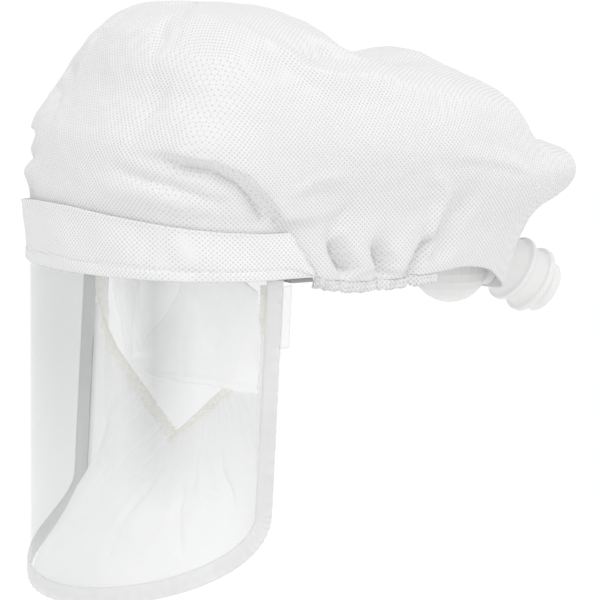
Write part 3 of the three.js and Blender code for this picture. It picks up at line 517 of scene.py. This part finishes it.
        share = np.abs(u)
        d0, h0 = flat(np.maximum(0, share - 0.004))
        d1, h1 = flat(np.minimum(1, share + 0.004))
        length = np.hypot(d1 - d0, h1 - h0)
        distance, height = flat(share)
        side = np.where(u < 0, -1.0, 1.0)
        return side * distance, height, side * (h1 - h0) / length, -(d1 - d0) / length

    def opening(self, u):
        s = self.s
        share = np.abs(u)
        x = np.sign(u) * s.opening_half * column(OPENING_SECTIONS, "side", share)
        z = self.OPENING_TOP - (s.throat_drop + self.OPENING_TOP) * column(OPENING_SECTIONS, "drop", share)
        return np.stack([x, np.full_like(x, s.temple_y + self.OPENING_BACK), z], axis=-1)

    def seal(self, u, t):
        """The face seal from the visor's edge, where t is 0, to the face opening."""
        s = self.s
        distance, height, out_d, out_h = self.visor_edge(u)
        lap, behind = 0.001, 0.0026
        top = np.minimum(height - out_h * lap, self.OPENING_TOP)
        start = self.wrap(distance - out_d * lap, top, -behind)
        share = np.abs(u)
        p = lerp(start, self.opening(u), t[..., None])
        slack = smooth((share - 0.35) / 0.3) * smooth((1 - share) / 0.12)
        p[..., 1] += s.seal_bulge * slack * np.sin(math.pi * np.sqrt(np.clip(t, 0, 1)))
        return p


def wrinkle(points, scale, depth, seed):
    """A small random distance for each point, smooth over the given scale."""
    shift = Vector((seed * 13.7, seed * 5.1, seed * 9.3))
    return np.array([depth * noise.fractal(Vector(p) / scale + shift, 1.0, 2.0, 3) for p in points])


def grid(name, columns, rows, place, material, merge=False):
    """A sheet from an even grid whose points are moved by place(u, v), u and v from 0 to 1."""
    bm = bmesh.new()
    bm.loops.layers.uv.new("UVMap")
    bmesh.ops.create_grid(bm, x_segments=columns, y_segments=rows, size=0.5, calc_uvs=True)
    flat_points = np.array([v.co for v in bm.verts]) + 0.5
    moved = place(flat_points[:, 0], flat_points[:, 1])
    for vertex, point in zip(bm.verts, moved):
        vertex.co = point
    if merge:
        bmesh.ops.remove_doubles(bm, verts=bm.verts, dist=1e-6)
    bmesh.ops.recalc_face_normals(bm, faces=bm.faces)
    return to_object(name, bm, material)


def to_object(name, bm, material):
    mesh = bpy.data.meshes.new(name)
    bm.to_mesh(mesh)
    bm.free()
    mesh.shade_smooth()
    piece = bpy.data.objects.new(name, mesh)
    bpy.context.scene.collection.objects.link(piece)
    mesh.materials.append(material)
    return piece


def thicken(piece, thickness, offset=-1):
    """Gives a sheet its thickness: inwards at offset -1, to both sides at 0."""
    solid = piece.modifiers.new("Thickness", "SOLIDIFY")
    solid.thickness = thickness
    solid.offset = offset


def outward(piece, centre):
    """Turns a sheet's faces so that its first thickness is laid away from the centre's side."""
    mesh = piece.data
    total = sum((p.center - centre).dot(p.normal) * p.area for p in mesh.polygons)
    if total < 0:
        mesh.flip_normals()


class Value:
    """A socket whose sums and products add Math nodes."""

    def __init__(self, look, socket):
        self.look = look
        self.socket = socket

    def maths(self, operation, other=None, swapped=False):
        terms = [self] if other is None else [other, self] if swapped else [self, other]
        return self.look.node("ShaderNodeMath", {"operation": operation}, dict(enumerate(terms)))

    def __add__(self, other):
        return self.maths("ADD", other)

    def __sub__(self, other):
        return self.maths("SUBTRACT", other)

    def __rsub__(self, other):
        return self.maths("SUBTRACT", other, True)

    def __mul__(self, other):
        return self.maths("MULTIPLY", other)

    def __truediv__(self, other):
        return self.maths("DIVIDE", other)

    def __rtruediv__(self, other):
        return self.maths("DIVIDE", other, True)

    def __pow__(self, other):
        return self.maths("POWER", other)

    def __abs__(self):
        return self.maths("ABSOLUTE")

    __radd__ = __add__
    __rmul__ = __mul__


class Look:
    """A material under construction."""

    def __init__(self, name):
        self.material = bpy.data.materials.new(name)
        self.material.use_nodes = True
        self.tree = self.material.node_tree
        self.tree.nodes.clear()

    def node(self, kind, settings=None, inputs=None, output=0):
        """Adds a node with its settings and inputs, and gives one of its outputs."""
        made = self.tree.nodes.new(kind)
        for key, value in (settings or {}).items():
            setattr(made, key, value)
        for key, value in (inputs or {}).items():
            if isinstance(value, Value):
                self.tree.links.new(value.socket, made.inputs[key])
            else:
                made.inputs[key].default_value = value
        return Value(self, made.outputs[output])

    def split(self, vector):
        return [self.node("ShaderNodeSeparateXYZ", None, {0: vector}, axis) for axis in range(3)]

    def mix(self, factor, a, b):
        return self.node("ShaderNodeMix", {"data_type": "RGBA"}, {0: factor, 6: a, 7: b}, 2)

    def blend(self, factor, a, b):
        return self.node("ShaderNodeMixShader", None, {0: factor, 1: a, 2: b})

    def noise(self, where, scale, detail=3.0):
        return self.node("ShaderNodeTexNoise", None, {"Vector": where, "Scale": scale, "Detail": detail})

    def bump(self, height, distance, strength=1.0, normal=None):
        inputs = {"Height": height, "Distance": distance, "Strength": strength}
        if normal:
            inputs["Normal"] = normal
        return self.node("ShaderNodeBump", None, inputs)

    def surface(self, shader):
        out = self.tree.nodes.new("ShaderNodeOutputMaterial")
        self.tree.links.new(shader.socket, out.inputs["Surface"])
        return self.material

    def place(self):
        return self.node("ShaderNodeTexCoord", None, None, "Object")


def full(colour):
    return (*colour, 1.0)


def dots(look, pitch):
    """Embossed dots in diagonal rows, laid on from the side, the front and above."""
    x, y, z = look.split(look.place())
    nx, ny, nz = look.split(look.node("ShaderNodeNewGeometry", None, None, "Normal"))
    turn = 2 * math.pi / (pitch * math.sqrt(2))
    cx, cy, cz = ((axis * turn).maths("COSINE") for axis in (x, y, z))
    wx, wy, wz = (abs(axis) ** 5.0 for axis in (nx, ny, nz))
    total = wx + wy + wz
    waves = (cy * cz * wx + cx * cz * wy + cx * cy * wz) / total
    return waves.maths("MAXIMUM", 0.0)


def cloth_look(name, colour, pitch=0.0021, dent=0.0002):
    look = Look(name)
    where = look.place()
    emboss_and_dent_shade = dots(look, pitch)
    fibres = look.noise(where, 900.0, 4.0)
    shade = look.noise(where, 22.0, 3.0)
    pale = full([min(1, c * 1.03) for c in colour])
    tone = look.mix(shade, full([c * 0.97 for c in colour]), pale)
    # Painted shade: the colour is darkened towards 0.68 of itself in the embossed dents, by an amount that
    # wanders with the noise.
    tone = look.mix(emboss_and_dent_shade * (0.6 + shade * 0.5), tone, full([c * 0.68 for c in colour]))
    normal = look.bump(fibres, 0.00012, 0.5)
    normal = look.bump(1.0 - emboss_and_dent_shade, dent, 0.6, normal)
    body = look.node("ShaderNodeBsdfPrincipled", None, {
        "Base Color": tone, "Roughness": 0.85, "Sheen Weight": 0.15, "Sheen Roughness": 0.5,
        "Specular IOR Level": 0.25, "Normal": normal})
    through = look.node("ShaderNodeBsdfTranslucent", None, {"Color": tone, "Normal": normal})
    return look.surface(look.blend(0.18, body, through))


def thin_cloth_look(name, colour, clear, through, rough=0.75, scale=1.0, glow=0.0):
    """Cloth or film that lets light through: clear is the share seen straight through, glow
    the strength of a painted glow, light the sheet gives off itself to brighten it in shade."""
    look = Look(name)
    where = look.place()
    fibres = look.noise(where, 500.0 * scale, 5.0)
    shade = look.noise(where, 30.0, 2.0)
    tone = look.mix(shade, full([c * 0.97 for c in colour]), full([min(0.99, c * 1.03) for c in colour]))
    normal = look.bump(fibres, 0.0002, 0.5)
    # Emission here is painted light: the sheet gives off light of its own, at the strength glow.
    body = look.node("ShaderNodeBsdfPrincipled", None, {
        "Base Color": tone, "Roughness": rough, "Specular IOR Level": 0.3, "Normal": normal,
        "Emission Color": tone, "Emission Strength": glow})
    lit = look.node("ShaderNodeBsdfTranslucent", None, {"Color": tone, "Normal": normal})
    sheet = look.blend(through, body, lit)
    hole = look.node("ShaderNodeBsdfTransparent", None, {"Color": (0.97, 0.97, 0.97, 1.0)})
    return look.surface(look.blend(clear, sheet, hole))


def clear_look(colour, grey):
    """A clear sheet that reflects a little. Its grey share is raised at its front, towards its top
    and over a patch on its left side near the top: painted shade for what is seen through it there.
    """
    look = Look("clear sheet")
    where = look.place()
    haze = look.noise(where, 8.0, 2.0)
    x, _, z = look.split(where)
    # Painted shade: these masks make the sheet greyer over a patch on its left side near its top, at its
    # front and towards its top; only the even share of 0.075 is the sheet's own gloss.
    left_patch_shade = 1.0 - (abs(x - 0.077) / 0.021).maths("MINIMUM", 1.0)
    ahead = 1.0 - (abs(x) / 0.09).maths("MINIMUM", 1.0)
    high = ((z + 0.14) / 0.09).maths("MAXIMUM", 0.0).maths("MINIMUM", 1.0)
    tint = look.node("ShaderNodeBsdfTransparent", None, {"Color": full(colour)})
    gloss = look.node("ShaderNodeBsdfPrincipled", None, {
        "Base Color": full(grey), "Roughness": haze * 0.1 + 0.14, "Specular IOR Level": 0.6})
    return look.surface(look.blend(ahead * 0.05 + high * 0.05 + left_patch_shade * high * 0.24 + 0.075, tint, gloss))


def plastic_look(name, colour, through=0.2, rough=0.35):
    look = Look(name)
    where = look.place()
    grain = look.noise(where, 350.0, 3.0)
    shade = look.noise(where, 40.0, 2.0)
    tone = look.mix(shade, full([c * 0.95 for c in colour]), full([min(1, c * 1.02) for c in colour]))
    normal = look.bump(grain, 0.00005, 0.4)
    body = look.node("ShaderNodeBsdfPrincipled", None, {
        "Base Color": tone, "Roughness": rough, "Normal": normal, "Specular IOR Level": 0.45})
    glow = look.node("ShaderNodeBsdfTranslucent", None, {"Color": tone, "Normal": normal})
    return look.surface(look.blend(through, body, glow))


def settings():
    return bpy.context.scene.head_cover_sizes, bpy.context.scene.head_cover_colours


_made = {}


def shared(name, make):
    """A material, or the form, made once for all the operators."""
    if name not in _made:
        _made[name] = make()
    return _made[name]


def form():
    return shared("form", lambda: Form(settings()[0]))


def cloth():
    return shared("cloth", lambda: cloth_look("embossed cloth", settings()[1].cloth))


def thin():
    # Painted light: the seal glows at 0.2.
    return shared("thin", lambda: thin_cloth_look("thin cloth", settings()[1].seal, 0.45, 0.4, glow=0.2))


def white_plastic():
    return shared("white", lambda: plastic_look("white plastic", settings()[1].plastic))


def finished(piece, slot, *nodes):
    """Hands a piece over: what it rides on and what it stands for. Its material slot is not used."""
    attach(piece, "root")
    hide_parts(*nodes)
    return piece


class Build:
    """An operator of the head cover."""

    bl_options = {"REGISTER", "UNDO"}

    def execute(self, context):
        self.build()
        return {"FINISHED"}


class HEADCOVER_OT_crown(Build, bpy.types.Operator):
    """Build the cloth crown with its folds"""

    bl_idname = "headcover.crown"
    bl_label = "Crown"

    def build(self):
        f = form()
        columns, rows = 340, 125

        def place(u, v):
            side = np.where(u < 0.5, -1.0, 1.0)
            around = np.abs(2 * u - 1)
            distance = around * f.half_perimeter
            rim, waist = f.level_at(f.rim_height(distance)), f.level_at(f.waist_height(distance))
            low = 0.08  # the share of the rows below the waist
            level = np.where(v < low, lerp(rim, waist, v / low), lerp(waist, 1, (v - low) / (1 - low)))
            points = f.crown(side, around, level)
            top_y = f.s.temple_y + CROWN_SECTIONS[-1]["centre"] * f.s.crown_rear
            points[v > 0.9999] = (0, top_y, f.s.crown_top)
            above = smooth((points[:, 2] - f.band_top(distance)) / 0.02)
            beyond = smooth((distance - f.s.band_reach_low - 0.01) / 0.03)
            loose = np.maximum(above, beyond) * smooth((1 - v) / 0.1)
            away = points - np.array([0, 0.05, 0.03])
            away /= np.linalg.norm(away, axis=1)[:, None]
            ripple = wrinkle(points, 0.035, 0.0012, 1) + wrinkle(points, 0.012, 0.0004, 2)
            return points + away * (ripple * loose)[:, None]

        crown = grid("crown_cloth", columns, rows, place, cloth(), merge=True)
        outward(crown, Vector((0, 0.05, 0.03)))
        thicken(crown, f.s.crown_cloth)
        finished(crown, "cloth", "crown")


class HEADCOVER_OT_band(Build, bpy.types.Operator):
    """Build the brow band over the top of the visor"""

    bl_idname = "headcover.band"
    bl_label = "Brow Band"

    def build(self):
        f = form()
        s = f.s

        def place(u, v):
            distance = lerp(-s.band_reach_low, s.band_reach_low, u)
            height = f.band_edge(distance) * v
            wave = 0.0008 * np.sin(v * math.pi) * (1 + np.sin(distance / 0.009 + 3 * v))
            hem = 0.0008 * smooth((0.17 - v) / 0.03) + 0.0006 * smooth((v - 0.93) / 0.03)
            stitch = 0.0005 * np.exp(-((v - 0.2) / 0.03) ** 2) * (1 + 0.7 * np.sin(distance / 0.0005))
            seam = 0.0007 * np.exp(-((distance - 0.118) / 0.0015) ** 2)
            raised = 0.0035 * smooth((v - 0.45) / 0.55) * smooth(1 - np.abs(distance + 0.055) / 0.024)
            return f.wrap(distance, height, 0.0018 + wave + hem - stitch - seam + raised)

        # The band's cloth is the crown's cloth made lighter: painted light.
        look = shared("band", lambda: cloth_look("band cloth", settings()[1].band))
        band = grid("brow_band_cloth", 620, 36, place, look)
        outward(band, Vector((0, 0.0, 0.02)))
        thicken(band, s.band_cloth)
        finished(band, "cloth", "brow_band")


class HEADCOVER_OT_hem(Build, bpy.types.Operator):
    """Build the gathered hem under the crown, on both sides"""

    bl_idname = "headcover.hem"
    bl_label = "Gathered Hem"

    def build(self):
        f = form()
        for side, name in ((1.0, "left"), (-1.0, "right")):
            start, end = 0.187 / f.half_perimeter, 0.655
            gathers = round((end - start) * f.half_perimeter / f.s.gather_pitch)

            def place(u, v):
                around = lerp(start, end, u)
                level = f.level_at(f.rim_height(around * f.half_perimeter))
                rim = f.crown(np.full_like(u, side), around, level)
                inward = np.stack([-rim[:, 0], f.s.temple_y - rim[:, 1], np.zeros_like(u)], axis=-1)
                inward /= np.linalg.norm(inward, axis=1)[:, None]
                down = 1 - v
                uneven = 1 + 0.35 * np.sin(u * 61.0) + 0.2 * np.sin(u * 143.0 + 1)
                wave = 0.5 - 0.5 * np.cos(u * gathers * 2 * math.pi)
                rim = rim + inward * (wave * 0.0022 * (0.3 + down) * uneven)[:, None]
                rim[:, 2] += -0.0004 - down * (0.0056 + 0.0012 * wave * uneven)
                return rim

            hem = grid(f"hem_gathers_{name}", gathers * 8, 8, place, cloth())
            outward(hem, Vector((0, 0.05, 0.0)))
            thicken(hem, f.s.hem_cloth)
            finished(hem, "cloth", f"nape_ruffle_{name}")


class HEADCOVER_OT_visor(Build, bpy.types.Operator):
    """Build the clear visor"""

    bl_idname = "headcover.visor"
    bl_label = "Visor"

    def build(self):
        f = form()

        def place(u, v):
            share = np.sin((2 * u - 1) * math.pi / 2)
            low_d, low_h = f.visor_low(share)
            top_d, top_h = f.visor_top(share)
            return f.wrap(lerp(low_d, top_d, v), lerp(low_h, top_h, v), 0.0)

        look = shared("clear", lambda: clear_look(settings()[1].clear, settings()[1].clear_gloss_and_shade))
        visor = grid("visor_sheet", 160, 40, place, look)
        outward(visor, Vector((0, 0.0, -0.08)))
        thicken(visor, f.s.visor_sheet)
        finished(visor, "clear_sheet", "visor")


class HEADCOVER_OT_binding(Build, bpy.types.Operator):
    """Build the binding round the visor and the film tabs behind it"""

    bl_idname = "headcover.binding"
    bl_label = "Visor Binding"

    def build(self):
        f = form()

        def place(u, v):
            share = 2 * u - 1
            distance, height, out_d, out_h = f.visor_edge(share)
            inset = lerp(-0.0025, f.s.binding_width, v)
            pucker = 0.00035 * np.sin(share * 260) * (1 - v)
            out = 0.0014 + pucker + 0.0006 * np.sin(v * math.pi)
            return f.wrap(distance - out_d * inset, np.minimum(height - out_h * inset, -0.0004), out)

        tone = settings()[1].binding
        # Painted light: the binding glows at 0.13.
        look = shared("binding", lambda: thin_cloth_look("binding cloth", tone, 0.12, 0.6, glow=0.13))
        binding = grid("visor_edge_binding", 420, 10, place, look)
        outward(binding, Vector((0, 0.0, -0.08)))
        thicken(binding, f.s.binding_cloth)
        finished(binding, "smooth_cloth", "visor_binding")
        look = shared("tab", lambda: thin_cloth_look("tab film", settings()[1].film, 0.45, 0.3, 0.35))
        for side, name in ((1.0, "left"), (-1.0, "right")):

            def place_tab(u, v):
                height = lerp(-0.042, -0.004, v)
                return f.wrap(side * (f.rear_edge(height) + 0.0029 + 0.006 * u), height, 0.0012)

            tab = grid(f"temple_film_{name}", 6, 24, place_tab, look)
            outward(tab, Vector((0, 0.0, -0.02)))
            thicken(tab, f.s.tab_film)
            finished(tab, "film", f"side_tab_{name}")


class HEADCOVER_OT_seal(Build, bpy.types.Operator):
    """Build the pleated face seal and the elastic round the face opening"""

    bl_idname = "headcover.seal"
    bl_label = "Face Seal"

    def build(self):
        f = form()

        def seal_points(u, t):
            points = f.seal(u, t)
            share = np.abs(u)
            gather = np.sin(share * 150 + 2 * np.sin(share * 17)) * smooth((t - 0.72) / 0.25)
            pleat = np.sin(share * 44 + 1.5 * np.sin(share * 9 + u)) * smooth((t - 0.1) / 0.6)
            ease = smooth((1 - share) / 0.15)
            points[:, 1] += (gather * 0.0008 + pleat * 0.0008 * (1 - 0.6 * t)) * ease
            for crease in SEAL_CREASES:
                nearest, along, _ = near_line(crease["points"], u, t, 0.28)
                ends = smooth(along / 0.25) * smooth((1 - along) / 0.35)
                fall = np.clip(1 - nearest / crease["width"], 0, 1) ** 1.5
                points[:, 1] += crease["depth"] * fall * ends * ease
            points[:, 1] += wrinkle(points, 0.03, 0.0022, 4) * np.sin(math.pi * np.clip(t, 0, 1)) * ease
            return points

        def width(u):
            return np.linalg.norm(f.seal(u, np.zeros_like(u)) - f.opening(u), axis=1)

        def place(u, v):
            share = 2 * u - 1
            return seal_points(share, v * (1 - 0.0058 / width(share)))

        seal = grid("face_seal_cloth", 520, 56, place, thin())
        thicken(seal, f.s.seal_cloth, 0)
        finished(seal, "smooth_cloth", "face_seal")

        def place_elastic(u, v):
            share = 2 * u - 1
            angle = v * 2 * math.pi
            centre = seal_points(share, 1 - 0.0027 / width(share))
            crimp = 1 + 0.12 * np.sin(share * 300)
            flat = 0.0031 * np.cos(angle) * crimp
            thick = 0.0014 * np.sin(angle) * crimp
            inward = f.opening(share) - centre
            inward /= np.linalg.norm(inward, axis=1)[:, None]
            return centre + inward * flat[:, None] + np.array([0, 1, 0]) * thick[:, None]

        tone = settings()[1].elastic
        # Painted light: the elastic glows at 0.2, the last number.
        look = shared("elastic", lambda: thin_cloth_look("elastic", tone, 0.3, 0.35, 0.6, 2.0, 0.2))
        elastic = grid("face_opening_elastic", 480, 12, place_elastic, look, merge=True)
        outward(elastic, Vector((0, -0.042, -0.1)))
        finished(elastic, "elastic", "face_elastic")


class HEADCOVER_OT_flap(Build, bpy.types.Operator):
    """Build the soft film flap behind the visor"""

    bl_idname = "headcover.flap"
    bl_label = "Inner Flap"

    def build(self):
        f = form()

        def place(u, v):
            x = column(FLAP_SECTIONS, "side", u) * f.s.half_width
            top = -column(FLAP_SECTIONS, "top", u) * f.s.visor_drop
            low = -column(FLAP_SECTIONS, "low", u) * f.s.visor_drop
            y = f.s.temple_y + f.OPENING_BACK - 0.004 - 0.002 * np.sin(u * math.pi) * np.sin(v * 5 + 2 * u)
            y -= 0.0016 * np.sin(u * 21 + v * 6) * smooth(v * 3)
            y -= 0.0012 * np.exp(-(((v - 0.05) / 0.025) ** 2))  # the hem along its lower edge
            points = np.stack([x, y, lerp(low, top, v)], axis=-1)
            points[:, 1] += wrinkle(points, 0.025, 0.0016, 6)
            return points

        tone = settings()[1].film
        # Painted light: the flap glows at 0.33.
        look = shared("film", lambda: thin_cloth_look("soft film", tone, 0.1, 0.4, 0.4, glow=0.33))
        flap = grid("inner_flap_film", 200, 50, place, look)
        thicken(flap, f.s.flap_film, 0)
        finished(flap, "film", "inner_flap")


class HEADCOVER_OT_port(Build, bpy.types.Operator):
    """Build the ridged hose port and its end ring"""

    bl_idname = "headcover.port"
    bl_label = "Hose Port"

    CENTRE = Vector((0, 0.190, -0.0145))
    PITCH = math.radians(30.5)
    RING_START = 0.0277
    RING_RADIUS = 0.0164

    def turned(self, name, outline, node, segments=96):
        """A closed ring spun round the port's axis from radius and distance along it."""
        bm = bmesh.new()
        bmesh.ops.create_circle(bm, segments=len(outline), radius=1, cap_ends=False)
        for vertex, (radius, along) in zip(bm.verts, outline):
            vertex.co = (radius, 0, along)
        bmesh.ops.spin(
            bm, geom=bm.verts[:] + bm.edges[:], cent=(0, 0, 0), axis=(0, 0, 1),
            angle=2 * math.pi, steps=segments, use_merge=True)
        bmesh.ops.recalc_face_normals(bm, faces=bm.faces)
        turn = Matrix.Rotation(-(math.pi / 2 + self.PITCH), 4, "X")
        bmesh.ops.transform(bm, matrix=Matrix.Translation(self.CENTRE) @ turn, verts=bm.verts)
        piece = to_object(name, bm, white_plastic())
        piece.data.set_sharp_from_angle(angle=math.radians(50))
        return finished(piece, "white_plastic", node)

    def build(self):
        s = settings()[0]
        outside = [(row["radius"] * s.port_ridge, row["along"] * s.port_length) for row in PORT_OUTLINE]
        first, last = outside[0][1], outside[-1][1]
        self.turned("hose_port_body", [(s.port_bore, first), *outside, (s.port_bore, last)], "hose_port")
        start, end, ring = self.RING_START, s.port_length, self.RING_RADIUS
        lip = [
            (s.port_bore, start),
            (ring - 0.0004, start),
            (ring, start + 0.0006),
            (ring, end - 0.001),
            (ring - 0.0005, end - 0.0002),
            (ring - 0.0009, end),
            (s.port_bore, end),
        ]
        self.turned("port_end_ring", lip, "port_lip")


class HEADCOVER_OT_plastic(Build, bpy.types.Operator):
    """Finish the headband, its arms and the plenum"""

    bl_idname = "headcover.plastic"
    bl_label = "Headband and Arms"

    def build(self):
        colours = settings()[1]
        grey = shared("grey", lambda: plastic_look("grey plastic", colours.grey, 0.0, 0.45))
        for name, material in (
            ("headband", white_plastic()),
            ("plenum", white_plastic()),
            ("temple_arm_left", grey),
            ("temple_arm_right", grey),
        ):
            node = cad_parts[name]
            node.data.materials.clear()
            node.data.materials.append(material)


class HEADCOVER_OT_stage(Build, bpy.types.Operator):
    """Set up the floor, the light and the camera"""

    bl_idname = "headcover.stage"
    bl_label = "Stage"

    FLOOR = -0.9
    SUN = Vector((0.66, -0.12, 0.95))
    AZIMUTH = math.radians(60)
    ELEVATION = math.radians(7)
    DISTANCE = 7.0
    VIEW = 0.366  # what the picture spans at the camera's target
    TARGET = (0.078, -0.0236)  # to the right of the temples and above them, as the camera sees it

    def build(self):
        scene = bpy.context.scene
        look = Look("floor")
        paint = look.node("ShaderNodeBsdfDiffuse", None, {"Color": (0.9, 0.9, 0.9, 1.0)})
        bm = bmesh.new()
        bmesh.ops.create_grid(bm, x_segments=1, y_segments=1, size=30)
        floor = to_object("floor", bm, look.surface(paint))
        floor.location.z = self.FLOOR

        world = bpy.data.worlds.new("studio")
        world.use_nodes = True
        world.node_tree.nodes["Background"].inputs["Color"].default_value = (1, 1, 1, 1)
        world.node_tree.nodes["Background"].inputs["Strength"].default_value = 0.92
        scene.world = world
        sun = bpy.data.objects.new("top_light", bpy.data.lights.new("top_light", "SUN"))
        sun.data.angle = math.radians(50)
        sun.data.energy = 0.88
        sun.matrix_world = self.SUN.to_track_quat("Z", "Y").to_matrix().to_4x4()
        scene.collection.objects.link(sun)

        right = Vector((math.cos(self.AZIMUTH), math.sin(self.AZIMUTH), 0))
        level = Vector((math.sin(self.AZIMUTH), -math.cos(self.AZIMUTH), 0))
        back = level * math.cos(self.ELEVATION) + Vector((0, 0, math.sin(self.ELEVATION)))
        up = back.cross(right)
        across, rise = self.TARGET
        target = Vector((0, settings()[0].temple_y, 0)) + right * across + up * rise
        turn = Matrix((right, up, back)).transposed().to_4x4()
        camera = bpy.data.objects.new("camera", bpy.data.cameras.new("camera"))
        camera.data.lens = camera.data.sensor_width * self.DISTANCE / self.VIEW
        camera.matrix_world = Matrix.Translation(target + back * self.DISTANCE) @ turn
        scene.collection.objects.link(camera)
        scene.camera = camera
        scene.view_settings.view_transform = "Standard"


class HEADCOVER_PT_panel(bpy.types.Panel):
    """The head cover's sidebar panel"""

    bl_idname = "HEADCOVER_PT_panel"
    bl_label = "Head Cover"
    bl_space_type = "VIEW_3D"
    bl_region_type = "UI"
    bl_category = "Head Cover"

    def draw(self, context):
        for group in (context.scene.head_cover_sizes, context.scene.head_cover_colours):
            for name in group.__annotations__:
                self.layout.prop(group, name)
        for operator in OPERATORS:
            self.layout.operator(operator.bl_idname)


OPERATORS = (
    HEADCOVER_OT_crown,
    HEADCOVER_OT_band,
    HEADCOVER_OT_hem,
    HEADCOVER_OT_visor,
    HEADCOVER_OT_binding,
    HEADCOVER_OT_seal,
    HEADCOVER_OT_flap,
    HEADCOVER_OT_port,
    HEADCOVER_OT_plastic,
    HEADCOVER_OT_stage,
)
CLASSES = (HeadCoverSizes, HeadCoverColours, *OPERATORS, HEADCOVER_PT_panel)


def register():
    for made in CLASSES:
        bpy.utils.register_class(made)
    bpy.types.Scene.head_cover_sizes = PointerProperty(type=HeadCoverSizes)
    bpy.types.Scene.head_cover_colours = PointerProperty(type=HeadCoverColours)


def unregister():
    del bpy.types.Scene.head_cover_colours
    del bpy.types.Scene.head_cover_sizes
    for made in reversed(CLASSES):
        bpy.utils.unregister_class(made)


def main():
    register()
    for operator in OPERATORS:
        group, name = operator.bl_idname.split(".")
        getattr(getattr(bpy.ops, group), name)()


if __name__ == "__main__":
    main()
